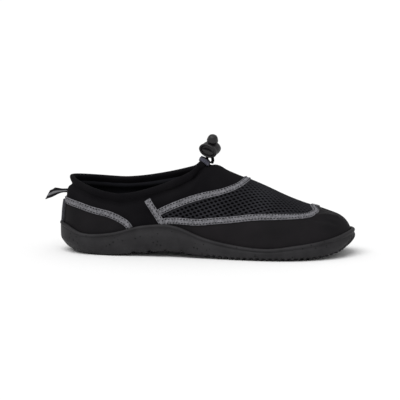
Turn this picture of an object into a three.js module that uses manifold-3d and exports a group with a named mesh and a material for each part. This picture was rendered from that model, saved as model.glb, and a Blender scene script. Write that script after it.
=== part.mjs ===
// Slip-on water shoe for the right foot, in millimetres.
// The toe points to +X, the outer side of the foot lies at -Y, and the sole stands on z = 0.
import * as THREE from 'three';
import { mergeVertices } from 'three/addons/utils/BufferGeometryUtils.js';
import Module from 'manifold-3d';

const wasm = await Module();
wasm.setup();

// Driving sizes of the shoe
const shoeLength = 290; // outsole, heel to toe
const ballWidth = 104; // outsole, across the ball
const throatHeight = 90.9; // top of the vamp at the front of the opening
const backHeight = 74; // top of the collar at the heel
const outerRim = 59.2; // lowest point of the collar, outer side
const innerRim = 69.5; // lowest point of the collar, inner side
const throatAlong = 140; // front of the opening, from the back of the heel
const throatShare = 0.4823; // the same place along the ridge, as the sections count it
const rimDipStart = 62; // the collar has come down from the heel here
const rimBackAlong = 12; // back of the collar, from the back of the heel
const throatSlope = 0.5; // rise of the collar line past the throat
const rimSweep = 1.6; // how late the collar line climbs to the throat
const rimFall = 1.5; // how fast it comes down from the heel
const throatRun = 10; // it turns up over this length behind the front of the opening
const throatTurn = 6.2; // and climbs this much there

// Sole
const cupWall = 3.5; // rubber beside the upper
const heelFloor = 12; // rubber under the heel
const sideHeight = 32; // crest of the sole's side, at the arch
const archLift = 5;
const toeSpring = 9;
const edgeTuck = 14; // how far the ground edge draws in at the heel
const beadProud = 0.7;
const beadHeight = 3;
const lugPitch = 6;
const lugGap = 2.6;
const lugDepth = 2.4;
const lugReach = 16; // grooves run in from the edge this far
const grooveMargin = 12; // how far a cutter passes the edge and the ground
const stepPitch = 16;
const stepGap = 3;
const stepDepth = 1.8;

// Upper and what is sewn on it
const upperWall = 2.2;
const insoleThick = 3;
const collarBand = 7.5;
const collarProud = 1.5;
const collarEdge = 0.08; // share of the swell's arch left out at each edge of the band
const collarInside = 0.6; // swell inside the opening against the outside
const tapeWidth = 6.2;
const tapeThick = 0.9;
const heelStripWidth = 13;
const fit = 0.3; // clearance where pieces meet

// Pull loop at the heel
const loopReach = 14; // behind the sole
const loopWidth = 9;
const loopThick = 1.3;
const loopGap = 1.6;
const loopDroop = 2.5;
const loopHeight = 58; // middle of the webbing where it leaves the heel
const loopFork = 0.3; // share of the reach where its two layers part
const loopFlare = 0.45; // share of the reach where they start to run level

// Drawcord, its lock and guides
const cordThick = 3;
const lockRadius = 9.6;
const lockOval = 0.72; // height of the barrel against its width
const lockLength = 14;
const lockRim = 2.2;
const lockRecess = 3.4;
const lockAhead = 8.9; // middle of the lock in front of the opening
const lockAside = 2; // and towards the outer side
const lockRise = 10; // middle of the lock above the throat
const lockYaw = 0.42;
const lockPitch = 0.28;
const lockRoll = 0.3;
const strandPlace = 0.2; // the cord's hole behind the middle, of half the lock's length
const slotHeight = 1.4;
const slotDepth = 0.6;
const capLength = 7;
const capGap = 0.3; // between the lock and the cap
const capRadius = 5.6;
const guideWidth = 5.6;
const guideLength = 10;
const guideBack = 2; // its rear end behind the front of the opening
const guideThick = 1;
const guideApart = 6;

const lastInset = cupWall + fit;
const lastLength = shoeLength - 2 * lastInset;
const lastWidth = ballWidth - 2 * lastInset;

// Sections of the last from the heel to the toe.
// along and ridgeAlong are shares of the last's length, outer, inner and ridgeSide of its width,
// ridge of the throat height, floor of the heel's rubber, edge of the sole's side height.
const sectionColumns = [
  'along', 'outer', 'inner', 'ridgeAlong', 'ridgeSide', 'ridge', 'turn', 'power',
  'floor', 'arch', 'spring', 'edge', 'tuck',
];
const sections = [
  [0.000, 0.000, 0.000, 0.138, 0.00, 1.104, 1.00, 2.20, 1.00, 0.0, 0.00, 0.90, 1.00],
  [0.025, -0.175, 0.175, 0.150, 0.00, 1.104, 0.90, 2.20, 1.00, 0.0, 0.00, 0.84, 0.90],
  [0.085, -0.295, 0.290, 0.175, 0.00, 1.113, 0.50, 2.20, 1.00, 0.0, 0.00, 0.64, 0.50],
  [0.180, -0.335, 0.315, 0.235, 0.00, 1.123, 0.10, 2.10, 1.00, 0.0, 0.00, 0.69, 0.16],
  [0.290, -0.350, 0.300, 0.312, 0.00, 1.118, 0.00, 2.00, 0.95, 0.7, 0.00, 0.93, 0.13],
  [0.400, -0.375, 0.285, 0.400, 0.00, 1.084, 0.00, 1.90, 0.90, 1.0, 0.00, 0.95, 0.13],
  [0.510, -0.425, 0.325, 0.486, 0.01, 0.997, 0.00, 1.80, 0.80, 0.4, 0.00, 0.62, 0.13],
  [0.620, -0.475, 0.410, 0.582, 0.03, 0.864, 0.00, 1.85, 0.70, 0.0, 0.00, 0.43, 0.13],
  [0.720, -0.505, 0.470, 0.677, 0.05, 0.741, 0.00, 2.00, 0.66, 0.0, 0.00, 0.36, 0.13],
  [0.810, -0.485, 0.480, 0.766, 0.07, 0.613, 0.00, 2.10, 0.66, 0.0, 0.00, 0.44, 0.14],
  [0.890, -0.405, 0.430, 0.842, 0.08, 0.517, 0.15, 2.15, 0.66, 0.0, 0.12, 0.53, 0.22],
  [0.955, -0.265, 0.345, 0.887, 0.08, 0.478, 0.50, 2.15, 0.68, 0.0, 0.45, 0.64, 0.35],
  [0.990, -0.080, 0.215, 0.908, 0.08, 0.447, 0.90, 2.10, 0.70, 0.0, 0.85, 0.74, 0.48],
  [1.000, 0.070, 0.070, 0.914, 0.07, 0.438, 1.00, 2.00, 0.70, 0.0, 1.00, 0.77, 0.51],
].map((row) => Object.fromEntries(sectionColumns.map((name, i) => [name, row[i]])));

const toeStation = sections.length - 1;
const ringLength = 2 * toeStation;

// The ring runs from the heel along the outer side to the toe and back along the inner side
function ringValue(name, index) {
  const turned = THREE.MathUtils.euclideanModulo(index, ringLength);
  const onOuter = turned <= toeStation;
  const row = sections[onOuter ? turned : ringLength - turned];
  if (name !== 'side') return row[name];
  return onOuter ? row.outer : row.inner;
}

function blend(name, ring) {
  const index = Math.floor(ring);
  const f = ring - index;
  const [a, b, c, d] = [-1, 0, 1, 2].map((step) => ringValue(name, index + step));
  const bend = 2 * a - 5 * b + 4 * c - d;
  const twist = 3 * (b - c) + d - a;
  return b + 0.5 * ((c - a) * f + bend * f * f + twist * f * f * f);
}

const soleLift = (ring) => archLift * Math.max(0, blend('arch', ring))
  + toeSpring * Math.max(0, blend('spring', ring));
const cupFloor = (ring) => soleLift(ring) + heelFloor * blend('floor', ring);
const soleEdge = (ring) => sideHeight * blend('edge', ring);

function featherPoint(ring) {
  return new THREE.Vector3(
    lastInset + lastLength * blend('along', ring),
    lastWidth * blend('side', ring),
    cupFloor(ring) + fit,
  );
}

// The ridge's stations stretch with the front of the opening
function ridgeX(share) {
  const front = throatAlong - lastInset;
  if (share < throatShare) return lastInset + (front * share) / throatShare;
  return lastInset + front + ((lastLength - front) * (share - throatShare)) / (1 - throatShare);
}

function ridgePoint(ring) {
  return new THREE.Vector3(
    ridgeX(blend('ridgeAlong', ring)),
    lastWidth * blend('ridgeSide', ring),
    throatHeight * blend('ridge', ring),
  );
}

// A point of the last: up is 0 at the feather line and 1 on the ridge, and past 1 it comes
// down the other side
function lastPoint(ring, up) {
  if (up > 1) return lastPoint(ringLength - ring, 2 - up);
  const angle = (up * Math.PI) / 2;
  const power = 2 / blend('power', ring);
  const out = Math.max(0, Math.cos(angle)) ** power;
  const rise = Math.sin(angle) ** power;
  const turn = blend('turn', ring);
  const foot = featherPoint(ring);
  const ridge = ridgePoint(ring);
  return new THREE.Vector3(
    THREE.MathUtils.lerp(foot.x, ridge.x, turn * (1 - out) + (1 - turn) * rise),
    THREE.MathUtils.lerp(foot.y, ridge.y, 1 - out),
    THREE.MathUtils.lerp(foot.z, ridge.z, rise),
  );
}

const ringStep = 0.02;
const upStep = 0.004;

function tangents(ring, up) {
  const low = Math.max(0, up - upStep);
  const alongRing = lastPoint(ring + ringStep, up).sub(lastPoint(ring - ringStep, up));
  const upward = lastPoint(ring, low + 2 * upStep).sub(lastPoint(ring, low));
  return [alongRing.divideScalar(2 * ringStep), upward.divideScalar(2 * upStep)];
}

function lastNormal(ring, up) {
  if (Math.abs(up - 1) < upStep) {
    const alongRidge = ridgePoint(ring + ringStep).sub(ridgePoint(ring - ringStep));
    const normal = alongRidge.cross(new THREE.Vector3(0, 1, 0)).normalize();
    return normal.z < 0 ? normal.negate() : normal;
  }
  const [alongRing, upward] = tangents(ring, up);
  return alongRing.cross(upward).normalize();
}

const offsetPoint = (ring, up, offset) => lastPoint(ring, up)
  .addScaledVector(lastNormal(ring, up), offset);

function upAtHeight(ring, height) {
  const foot = featherPoint(ring).z;
  const share = THREE.MathUtils.clamp((height - foot) / (ridgePoint(ring).z - foot), 0, 1);
  return (2 / Math.PI) * Math.asin(share ** (blend('power', ring) / 2));
}

// The collar line seen from the side, a little higher on the inner side of the foot
function collarHeight(x, onOuter) {
  if (x > throatAlong) return throatHeight + throatSlope * (x - throatAlong);
  const rim = onOuter ? outerRim : innerRim;
  const back = Math.max(0, (rimDipStart - x) / (rimDipStart - rimBackAlong)) ** rimFall;
  const front = Math.max(0, (x - rimDipStart) / (throatAlong - rimDipStart)) ** rimSweep;
  const turn = Math.max(0, 1 - (throatAlong - x) / throatRun) ** 2;
  const shoulder = throatHeight - throatTurn;
  return rim + (backHeight - rim) * back + (shoulder - rim) * front + throatTurn * turn;
}

function bisect(low, high, isAbove) {
  let [a, b] = [low, high];
  for (let i = 0; i < 40; i += 1) {
    const middle = (a + b) / 2;
    if (isAbove(middle)) b = middle;
    else a = middle;
  }
  return (a + b) / 2;
}

// Where a rib of the last meets the collar line lowered by drop, or 1 where it stays below it
function collarUp(ring, drop) {
  const onOuter = THREE.MathUtils.euclideanModulo(ring, ringLength) <= toeStation;
  const isAbove = (up) => {
    const point = lastPoint(ring, up);
    return point.z > collarHeight(point.x, onOuter) - drop;
  };
  const steps = 48;
  for (let i = 1; i <= steps; i += 1) {
    if (isAbove(i / steps)) return bisect((i - 1) / steps, i / steps, isAbove);
  }
  return 1;
}

function throatStation(drop) {
  const instep = 4;
  const ball = 9;
  return bisect(instep, ball, (ring) => {
    const ridge = ridgePoint(ring);
    return ridge.z < collarHeight(ridge.x, true) - drop;
  });
}

const upperDrop = collarBand;
const bandDrop = collarBand - fit;
const throats = [throatStation(0), throatStation(bandDrop), throatStation(upperDrop)];

// Stations from heel to toe: a few to each section, and more where the throat rounds
const stopsPerSection = 2;
const roundStops = [0.12, 0.03, 0];
const stations = [
  ...Array.from({ length: stopsPerSection * toeStation + 1 }, (_, i) => i / stopsPerSection),
  ...throats.flatMap((throat) => roundStops.map((step) => throat - step)),
].sort((a, b) => a - b);
const ringStops = [
  ...stations,
  ...stations.slice(1, -1).reverse().map((station) => ringLength - station),
];

function meshGeometry(points, triangles) {
  const geometry = new THREE.BufferGeometry();
  const positions = new Float32Array(points.flatMap((point) => point.toArray()));
  geometry.setAttribute('position', new THREE.BufferAttribute(positions, 3));
  geometry.setIndex(triangles.flat());
  const merged = mergeVertices(geometry, 1e-3);
  const index = merged.getIndex().array;
  const kept = [];
  for (let i = 0; i < index.length; i += 3) {
    const [a, b, c] = index.slice(i, i + 3);
    if (a !== b && b !== c && c !== a) kept.push(a, b, c);
  }
  merged.setIndex(kept);
  return merged;
}

const quad = (a, b, c, d) => [[a, b, c], [a, c, d]];

// A wall between two offsets of the last, from the low to the high line of each rib
function wallGeometry({ stops, low, high, rowsOut, rowsIn, outside, inside }) {
  const points = [];
  const column = (ring, rows, offset) => {
    const [from, to] = [low(ring), high(ring)];
    return Array.from({ length: rows + 1 }, (_, j) => {
      const share = to - from < 1e-6 ? 0 : j / rows;
      const up = THREE.MathUtils.lerp(from, to, share);
      return points.push(offsetPoint(ring, up, offset(share, ring))) - 1;
    });
  };
  const outer = stops.map((ring) => column(ring, rowsOut, outside));
  const inner = stops.map((ring) => column(ring, rowsIn, inside));
  const open = stops.map((ring) => high(ring) < 1);
  const triangles = [];
  stops.forEach((_, i) => {
    const next = (i + 1) % stops.length;
    for (let j = 0; j < rowsOut; j += 1) {
      triangles.push(...quad(outer[i][j], outer[next][j], outer[next][j + 1], outer[i][j + 1]));
    }
    for (let j = 0; j < rowsIn; j += 1) {
      triangles.push(...quad(inner[next][j], inner[i][j], inner[i][j + 1], inner[next][j + 1]));
    }
    triangles.push(...quad(outer[next][0], outer[i][0], inner[i][0], inner[next][0]));
    if (open[i] || open[next]) {
      triangles.push(...quad(
        outer[i][rowsOut], outer[next][rowsOut], inner[next][rowsIn], inner[i][rowsIn],
      ));
    }
  });
  return meshGeometry(points, triangles);
}

// A solid whose side is a stack of rings, closed by a floor and an underside across the foot
function stackGeometry(columnAt, across) {
  const columns = ringStops.map(columnAt);
  const rows = columns[0].length;
  const points = columns.flat();
  const id = (i, j) => (i % columns.length) * rows + j;
  const triangles = [];
  columns.forEach((_, i) => {
    for (let j = 0; j < rows - 1; j += 1) {
      triangles.push(...quad(id(i + 1, j), id(i, j), id(i, j + 1), id(i + 1, j + 1)));
    }
  });
  const cap = (row, upward) => {
    const lines = stations.map((_, i) => {
      const outer = columns[i][row];
      const inner = columns[(columns.length - i) % columns.length][row];
      return Array.from({ length: across + 1 }, (_unused, k) => (
        points.push(outer.clone().lerp(inner, k / across)) - 1));
    });
    lines.slice(1).forEach((line, i) => {
      for (let k = 0; k < across; k += 1) {
        const corners = [lines[i][k], line[k], line[k + 1], lines[i][k + 1]];
        triangles.push(...quad(...(upward ? corners : corners.reverse())));
      }
    });
  };
  cap(0, true);
  cap(rows - 1, false);
  return meshGeometry(points, triangles);
}

function toManifold(geometry) {
  const bare = new THREE.BufferGeometry();
  bare.setAttribute('position', geometry.getAttribute('position').clone());
  if (geometry.getIndex()) bare.setIndex(geometry.getIndex().clone());
  const merged = mergeVertices(bare, 1e-3);
  return new wasm.Manifold(new wasm.Mesh({
    numProp: 3,
    vertProperties: new Float32Array(merged.getAttribute('position').array),
    triVerts: new Uint32Array(merged.getIndex().array),
  }));
}

function fromManifold(solid) {
  const mesh = solid.getMesh();
  const geometry = new THREE.BufferGeometry();
  geometry.setAttribute('position', new THREE.BufferAttribute(mesh.vertProperties, 3));
  geometry.setIndex(new THREE.BufferAttribute(mesh.triVerts, 1));
  return geometry;
}

const subtract = (geometry, cutters) => fromManifold(
  cutters.reduce((solid, cutter) => solid.subtract(toManifold(cutter)), toManifold(geometry)),
);

// Level direction out of the feather line
function outward(ring) {
  const along = featherPoint(ring + ringStep).sub(featherPoint(ring - ringStep));
  return new THREE.Vector3(along.y, -along.x, 0).normalize();
}

// The sole's side below the bead: share of its height, and share of the tuck at the ground
const sideProfile = [[0.42, 0.1], [0.16, 0.5], [0, 1]];
const beadShoulder = 0.3; // the bead's face starts and ends this share of its height in

function soleColumn(ring) {
  const edge = soleEdge(ring);
  const lift = soleLift(ring);
  const tuck = edgeTuck * blend('tuck', ring);
  const out = outward(ring);
  const foot = featherPoint(ring);
  const onWall = (height, offset) => offsetPoint(ring, upAtHeight(ring, height), offset)
    .setZ(height);
  const below = (height, offset) => foot.clone().addScaledVector(out, offset).setZ(height);
  return [
    below(cupFloor(ring), fit),
    onWall((edge + foot.z) / 2, fit),
    onWall(edge, fit),
    onWall(edge, lastInset - beadProud),
    onWall(edge - beadShoulder * beadHeight, lastInset),
    onWall(edge - (1 - beadShoulder) * beadHeight, lastInset),
    onWall(edge - beadHeight, lastInset - beadProud),
    ...sideProfile.map(([rise, share]) => (
      below(THREE.MathUtils.lerp(lift, edge, rise), lastInset - share * tuck))),
  ];
}

function grooveCutter(ring, width, depth, reach) {
  const out = outward(ring);
  const box = new THREE.BoxGeometry(width, reach + grooveMargin, depth + grooveMargin);
  const foot = featherPoint(ring).addScaledVector(out, (grooveMargin - reach) / 2);
  box.rotateZ(Math.atan2(out.y, out.x) - Math.PI / 2);
  return box.translate(foot.x, foot.y, soleLift(ring) + (depth - grooveMargin) / 2);
}

// Ring places that lie a set distance apart along the feather line
function spacedRings(from, to, pitch) {
  const places = [from];
  let travelled = 0;
  let previous = featherPoint(from);
  const walk = 0.02;
  for (let ring = from + walk; ring <= to; ring += walk) {
    const point = featherPoint(ring);
    travelled += point.distanceTo(previous);
    previous = point;
    if (travelled >= pitch) {
      places.push(ring);
      travelled = 0;
    }
  }
  return places;
}

const lugStart = 6.1;
const stepStart = 3.75;
const stepEnd = 5.6;

function outsoleGeometry() {
  const lugs = spacedRings(lugStart, ringLength - lugStart, lugPitch)
    .map((ring) => grooveCutter(ring, lugGap, lugDepth, lugReach));
  const outerSteps = spacedRings(stepStart, stepEnd, stepPitch);
  const steps = outerSteps.flatMap((ring) => [ring, ringLength - ring])
    .map((ring) => grooveCutter(ring, stepGap, stepDepth, lugReach));
  const floorStrips = 4;
  return subtract(stackGeometry(soleColumn, floorStrips), [...lugs, ...steps]);
}

const edgeUp = (ring) => upAtHeight(ring, soleEdge(ring));

function upperGeometry() {
  const hidden = 2; // rows of the wall down in the sole's cup
  const shown = 10;
  const rows = hidden + shown;
  const points = [];
  const column = (ring, offset, skip) => {
    const edge = edgeUp(ring);
    const top = collarUp(ring, upperDrop);
    const heights = [];
    for (let j = 0; j <= rows; j += 1) {
      if (skip && j > hidden && (j - hidden) % 2 === 1) continue;
      const up = j <= hidden
        ? (edge * j) / hidden
        : THREE.MathUtils.lerp(edge, top, (j - hidden) / shown);
      heights.push(points.push(offsetPoint(ring, up, offset)) - 1);
    }
    return heights;
  };
  const outer = ringStops.map((ring) => column(ring, 0, false));
  const inner = ringStops.map((ring) => column(ring, -upperWall, true));
  const open = ringStops.map((ring) => collarUp(ring, upperDrop) < 1 - 1e-6);
  const triangles = [];
  ringStops.forEach((_, i) => {
    const next = (i + 1) % ringStops.length;
    outer[i].slice(1).forEach((_unused, j) => {
      triangles.push(...quad(outer[i][j], outer[next][j], outer[next][j + 1], outer[i][j + 1]));
    });
    inner[i].slice(1).forEach((_unused, j) => {
      triangles.push(...quad(inner[next][j], inner[i][j], inner[i][j + 1], inner[next][j + 1]));
    });
    triangles.push(...quad(outer[next][0], outer[i][0], inner[i][0], inner[next][0]));
    if (open[i] || open[next]) {
      triangles.push(...quad(
        outer[i].at(-1), outer[next].at(-1), inner[next].at(-1), inner[i].at(-1),
      ));
    }
  });
  return meshGeometry(points, triangles);
}

function insoleGeometry() {
  const inset = upperWall + fit;
  const column = (ring) => {
    const floor = featherPoint(ring).z;
    const top = floor + insoleThick;
    const side = (height) => offsetPoint(ring, upAtHeight(ring, height), -inset).setZ(height);
    return [side(top), side(floor)];
  };
  return stackGeometry(column, 3);
}

function collarGeometry() {
  const front = throatStation(bandDrop);
  const kept = stations.filter((station) => station <= front + 1e-9);
  const stops = [...kept, ...kept.slice(1).reverse().map((station) => ringLength - station)];
  const swell = (share) => collarProud
    * Math.sin(Math.PI * THREE.MathUtils.lerp(collarEdge, 1 - collarEdge, share));
  return wallGeometry({
    stops,
    low: (ring) => collarUp(ring, bandDrop),
    high: (ring) => {
      const up = collarUp(ring, 0);
      return up > 1 - 1e-6 ? 1 : up;
    },
    rowsOut: 4,
    rowsIn: 3,
    outside: swell,
    inside: (share) => -upperWall - swell(share) * collarInside,
  });
}

// Places on the last, given along its length and up the rib
function ringAt(along, up) {
  const x = lastInset + along * lastLength;
  return bisect(0, toeStation, (ring) => lastPoint(ring, up).x > x);
}

// A tape laid over the upper along stops of ring and up, with square ends
function tapeGeometry(route, { width, thick, lift, steps }) {
  const line = new THREE.CatmullRomCurve3(
    route.map(([ring, up]) => new THREE.Vector3(ring, up * toeStation, 0)), false, 'centripetal',
  );
  const onShoe = (place, offset) => offsetPoint(place.x, place.y / toeStation, offset);
  const points = [];
  const rings = [];
  for (let i = 0; i <= steps; i += 1) {
    const place = line.getPointAt(i / steps);
    const ahead = line.getPointAt(Math.min(1, (i + 0.5) / steps));
    const behind = line.getPointAt(Math.max(0, (i - 0.5) / steps));
    const course = onShoe(ahead, 0).sub(onShoe(behind, 0)).normalize();
    const reach = 0.05;
    const byRing = onShoe(place.clone().setX(place.x + reach), 0)
      .sub(onShoe(place.clone().setX(place.x - reach), 0)).divideScalar(2 * reach);
    const byUp = onShoe(place.clone().setY(place.y + reach), 0)
      .sub(onShoe(place.clone().setY(place.y - reach), 0)).divideScalar(2 * reach);
    const across = course.clone().cross(byRing.clone().cross(byUp)).normalize();
    const [e, f, g] = [byRing.dot(byRing), byRing.dot(byUp), byUp.dot(byUp)];
    const [p, q] = [across.dot(byRing), across.dot(byUp)];
    const scale = width / 2 / (e * g - f * f);
    const shift = new THREE.Vector3((p * g - q * f) * scale, (q * e - p * f) * scale, 0);
    const shares = [-1, 0, 1];
    const atShare = (share, offset) => (
      onShoe(place.clone().addScaledVector(shift, share), offset));
    const top = shares.map((share) => atShare(share, lift + thick));
    const under = shares.map((share) => atShare(-share, lift));
    rings.push([...top, ...under].map((point) => points.push(point) - 1));
  }
  const triangles = [];
  rings.slice(1).forEach((ring, i) => {
    ring.forEach((_, k) => {
      const after = (k + 1) % ring.length;
      triangles.push(...quad(rings[i][k], ring[k], ring[after], rings[i][after]));
    });
  });
  const close = (ring) => [...quad(ring[0], ring[1], ring[4], ring[5]),
    ...quad(ring[1], ring[2], ring[3], ring[4])];
  triangles.push(...close(rings[0]));
  triangles.push(...close(rings.at(-1)).map(([a, b, c]) => [c, b, a]));
  return outwardFacing(meshGeometry(points, triangles));
}

function outwardFacing(geometry) {
  const [a, b, c] = [0, 1, 2].map(() => new THREE.Vector3());
  const position = geometry.getAttribute('position');
  const index = Array.from(geometry.getIndex().array);
  let volume = 0;
  for (let i = 0; i < index.length; i += 3) {
    a.fromBufferAttribute(position, index[i]);
    b.fromBufferAttribute(position, index[i + 1]);
    c.fromBufferAttribute(position, index[i + 2]);
    volume += a.dot(b.cross(c));
  }
  if (volume < 0) geometry.setIndex(index.reverse());
  return geometry;
}

const layTape = (route, steps) => tapeGeometry(route, {
  width: tapeWidth, thick: tapeThick, lift: fit, steps,
});

// Tape routes on the outer side: share of the last's length, and up the rib
const heelTapeRoute = [
  [0.022, 0.252], [0.06, 0.235], [0.12, 0.202], [0.187, 0.176], [0.235, 0.128],
];
const sideTapeRoute = [[0.310, 0.294], [0.336, 0.208], [0.354, 0.154]];
const vampTapeRoute = [
  [0.363, 0.226], [0.41, 0.29], [0.478, 0.40], [0.556, 0.527], [0.613, 0.69], [0.638, 0.90],
];
const toeTapeRoute = [
  [0.384, 0.15], [0.469, 0.187], [0.548, 0.248], [0.63, 0.312], [0.725, 0.39], [0.80, 0.483],
  [0.842, 0.56], [0.868, 0.66], [0.878, 0.78], [0.869, 0.93],
];

const outerPlaces = (route) => route.map(([along, up]) => [ringAt(along, up), up]);
const mirrored = ([ring, up]) => [ring, 2 - up];
const innerPlaces = (route) => outerPlaces(route).map(([ring, up]) => [ringLength - ring, up]);

function overTheVamp(route) {
  const places = outerPlaces(route);
  return [...places, ...places.map(mirrored).reverse()];
}

function heelTape() {
  const places = outerPlaces(heelTapeRoute);
  const inner = places.map(([ring, up]) => [-ring, up]).reverse();
  return layTape([...inner, ...places], 32);
}

function heelStrip() {
  const low = upAtHeight(0, soleEdge(0) + fit);
  const high = upAtHeight(0, lastPoint(0, heelTapeRoute[0][1]).z - tapeWidth / 2 - 2 * fit);
  const route = [[0, low], [0, (low + high) / 2], [0, high]];
  return tapeGeometry(route, { width: heelStripWidth, thick: tapeThick, lift: fit, steps: 4 });
}

// Webbing folded into a flat loop, its two layers caught in the seam at the heel
function pullLoopGeometry() {
  const heelAt = (height) => offsetPoint(0, upAtHeight(0, height), 2 * fit).x;
  const reach = heelAt(loopHeight) + loopReach;
  const half = loopGap / 2;
  const outline = new THREE.Shape();
  const outerHalf = half + loopThick;
  const bend = -reach + outerHalf;
  const [fork, flare] = [-loopFork * reach, -loopFlare * reach];
  outline.moveTo(0, -loopThick);
  outline.bezierCurveTo(fork, -loopThick, flare, -outerHalf, bend, -outerHalf);
  outline.absarc(bend, 0, outerHalf, -Math.PI / 2, -1.5 * Math.PI, true);
  outline.bezierCurveTo(flare, outerHalf, fork, loopThick, 0, loopThick);
  outline.lineTo(0, -loopThick);
  const eye = new THREE.Path();
  eye.moveTo(fork, 0);
  eye.bezierCurveTo(flare, half, (flare + bend) / 2, half, bend, half);
  eye.absarc(bend, 0, half, Math.PI / 2, 1.5 * Math.PI, false);
  eye.bezierCurveTo((flare + bend) / 2, -half, flare, -half, fork, 0);
  outline.holes.push(eye);
  const geometry = new THREE.ExtrudeGeometry(outline, {
    depth: loopWidth, bevelEnabled: false, curveSegments: 6,
  });
  geometry.translate(0, 0, loopHeight - loopWidth / 2);
  const position = geometry.getAttribute('position');
  for (let i = 0; i < position.count; i += 1) {
    const share = -position.getX(i) / reach;
    const height = position.getZ(i);
    const seam = THREE.MathUtils.lerp(heelAt(height), heelAt(loopHeight), share);
    const droop = loopDroop * share * share;
    position.setXYZ(i, position.getX(i) + seam, position.getY(i), height - droop);
  }
  return geometry;
}

function latheGeometry(profile, segments) {
  return new THREE.LatheGeometry(profile.map(([r, h]) => new THREE.Vector2(r, h)), segments);
}

const throatPoint = ridgePoint(throats[0]);
const lockCentre = throatPoint.clone().add(new THREE.Vector3(lockAhead, -lockAside, lockRise));

const lockTurn = new THREE.Quaternion().setFromEuler(
  new THREE.Euler(lockPitch, lockRoll, -lockYaw, 'ZXY'),
);

// The barrel lies across the foot, its rim turned outward, a little back and down
function placeLock(geometry) {
  geometry.scale(1, 1, lockOval);
  geometry.applyQuaternion(lockTurn);
  return geometry.translate(lockCentre.x, lockCentre.y, lockCentre.z);
}

const recessRadius = lockRadius - lockRim;
const half = lockLength / 2;

// The barrel from its back to its face: share of the radius, share of half the length
const lockProfile = [
  [0, 1], [0.78, 1], [0.9, 0.75], [0.95, 0.1], [0.9, -0.5], [1, -0.68], [1, -0.88],
];

function lockBodyGeometry() {
  const outside = lockProfile.map(([radius, along]) => [radius * lockRadius, along * half]);
  const body = latheGeometry([
    ...outside, [lockRadius - lockRim / 4, -half], [recessRadius, -half],
    [recessRadius, -half + lockRecess], [0, -half + lockRecess],
  ].reverse(), 18);
  const strandSpan = 2 * cordThick + 2 * fit;
  const slack = 5 * fit;
  const hole = new THREE.BoxGeometry(strandSpan + slack, cordThick + slack, 4 * lockRadius);
  hole.translate(0, strandPlace * half, 0);
  return placeLock(subtract(body, [hole]));
}

function lockButtonGeometry() {
  const front = -half + lockRecess / 4;
  const rear = -half + lockRecess - fit;
  const radius = recessRadius - fit;
  const rounded = 2 * fit;
  const button = latheGeometry([
    [0, rear], [radius, rear], [radius, front + rounded], [radius - rounded, front], [0, front],
  ].reverse(), 16);
  const slot = new THREE.BoxGeometry(3 * radius, 2 * slotDepth, slotHeight);
  slot.translate(0, front, 0);
  return placeLock(subtract(button, [slot]));
}

const [lockAcross, lockBack, lockAxisUp] = [[1, 0, 0], [0, 1, 0], [0, 0, 1]]
  .map((axis) => new THREE.Vector3(...axis).applyQuaternion(lockTurn));

// Where a strand passes the lock, rise above the lock's middle
function strandAt(side, rise) {
  return lockCentre.clone()
    .addScaledVector(lockBack, strandPlace * half)
    .addScaledVector(lockAxisUp, rise)
    .addScaledVector(lockAcross, side * (cordThick / 2 + fit));
}

const capFoot = lockOval * lockRadius + capGap;
const strandSeat = 0.85; // where the cord leaves the collar's front, across the band
const strandSpread = 0.33; // and how far its strands lie from there

function cordGeometry(side) {
  const seat = THREE.MathUtils.lerp(throats[0], throats[2], strandSeat + strandSpread * side);
  const route = [
    offsetPoint(seat, 1, collarProud + 3 * fit),
    strandAt(side, -lockOval * lockRadius),
    strandAt(side, 0),
    strandAt(side, capFoot - fit),
  ];
  const round = new THREE.Shape();
  const sides = 8;
  for (let i = 0; i < sides; i += 1) {
    const angle = (2 * Math.PI * i) / sides;
    const [x, y] = [Math.cos(angle), Math.sin(angle)].map((v) => (v * cordThick) / 2);
    if (i === 0) round.moveTo(x, y);
    else round.lineTo(x, y);
  }
  return new THREE.ExtrudeGeometry(round, {
    steps: 12, extrudePath: new THREE.CatmullRomCurve3(route), bevelEnabled: false,
  });
}

// The cap from its foot to its tip: share of its radius, share of its length
const capProfile = [
  [0, 0], [0.9, 0], [1, 0.12], [0.92, 0.45], [0.7, 0.85], [0.35, 1], [0, 1],
];

function capGeometry() {
  const cap = latheGeometry(
    capProfile.map(([radius, along]) => [radius * capRadius, along * capLength]), 12,
  );
  const turn = new THREE.Quaternion().setFromUnitVectors(new THREE.Vector3(0, 1, 0), lockAxisUp);
  const foot = strandAt(0, capFoot);
  return cap.applyQuaternion(turn).translate(foot.x, foot.y, foot.z);
}

// Guides at the front of the opening: webbing tabs on the collar that the cord comes out of
function guideGeometry(side) {
  const up = bisect(0.5, 1, (share) => Math.abs(lastPoint(throats[0], share).y) < guideApart);
  const rear = throatAlong - guideBack - lastInset;
  const from = ringAt(rear / lastLength, up);
  const to = ringAt((rear + guideLength) / lastLength, up);
  const onSide = (ring) => (side < 0 ? ring : ringLength - ring);
  const route = [from, (from + to) / 2, to].map((ring) => [onSide(ring), up]);
  return tapeGeometry(route, {
    width: guideWidth, thick: guideThick, lift: collarProud + fit, steps: 5,
  });
}

const shoe = new THREE.Group();

function addPiece(name, geometry, color, roughness) {
  const material = new THREE.MeshStandardMaterial({ color, roughness, metalness: 0 });
  const mesh = new THREE.Mesh(geometry, material);
  mesh.name = name;
  shoe.add(mesh);
  return mesh;
}

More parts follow.
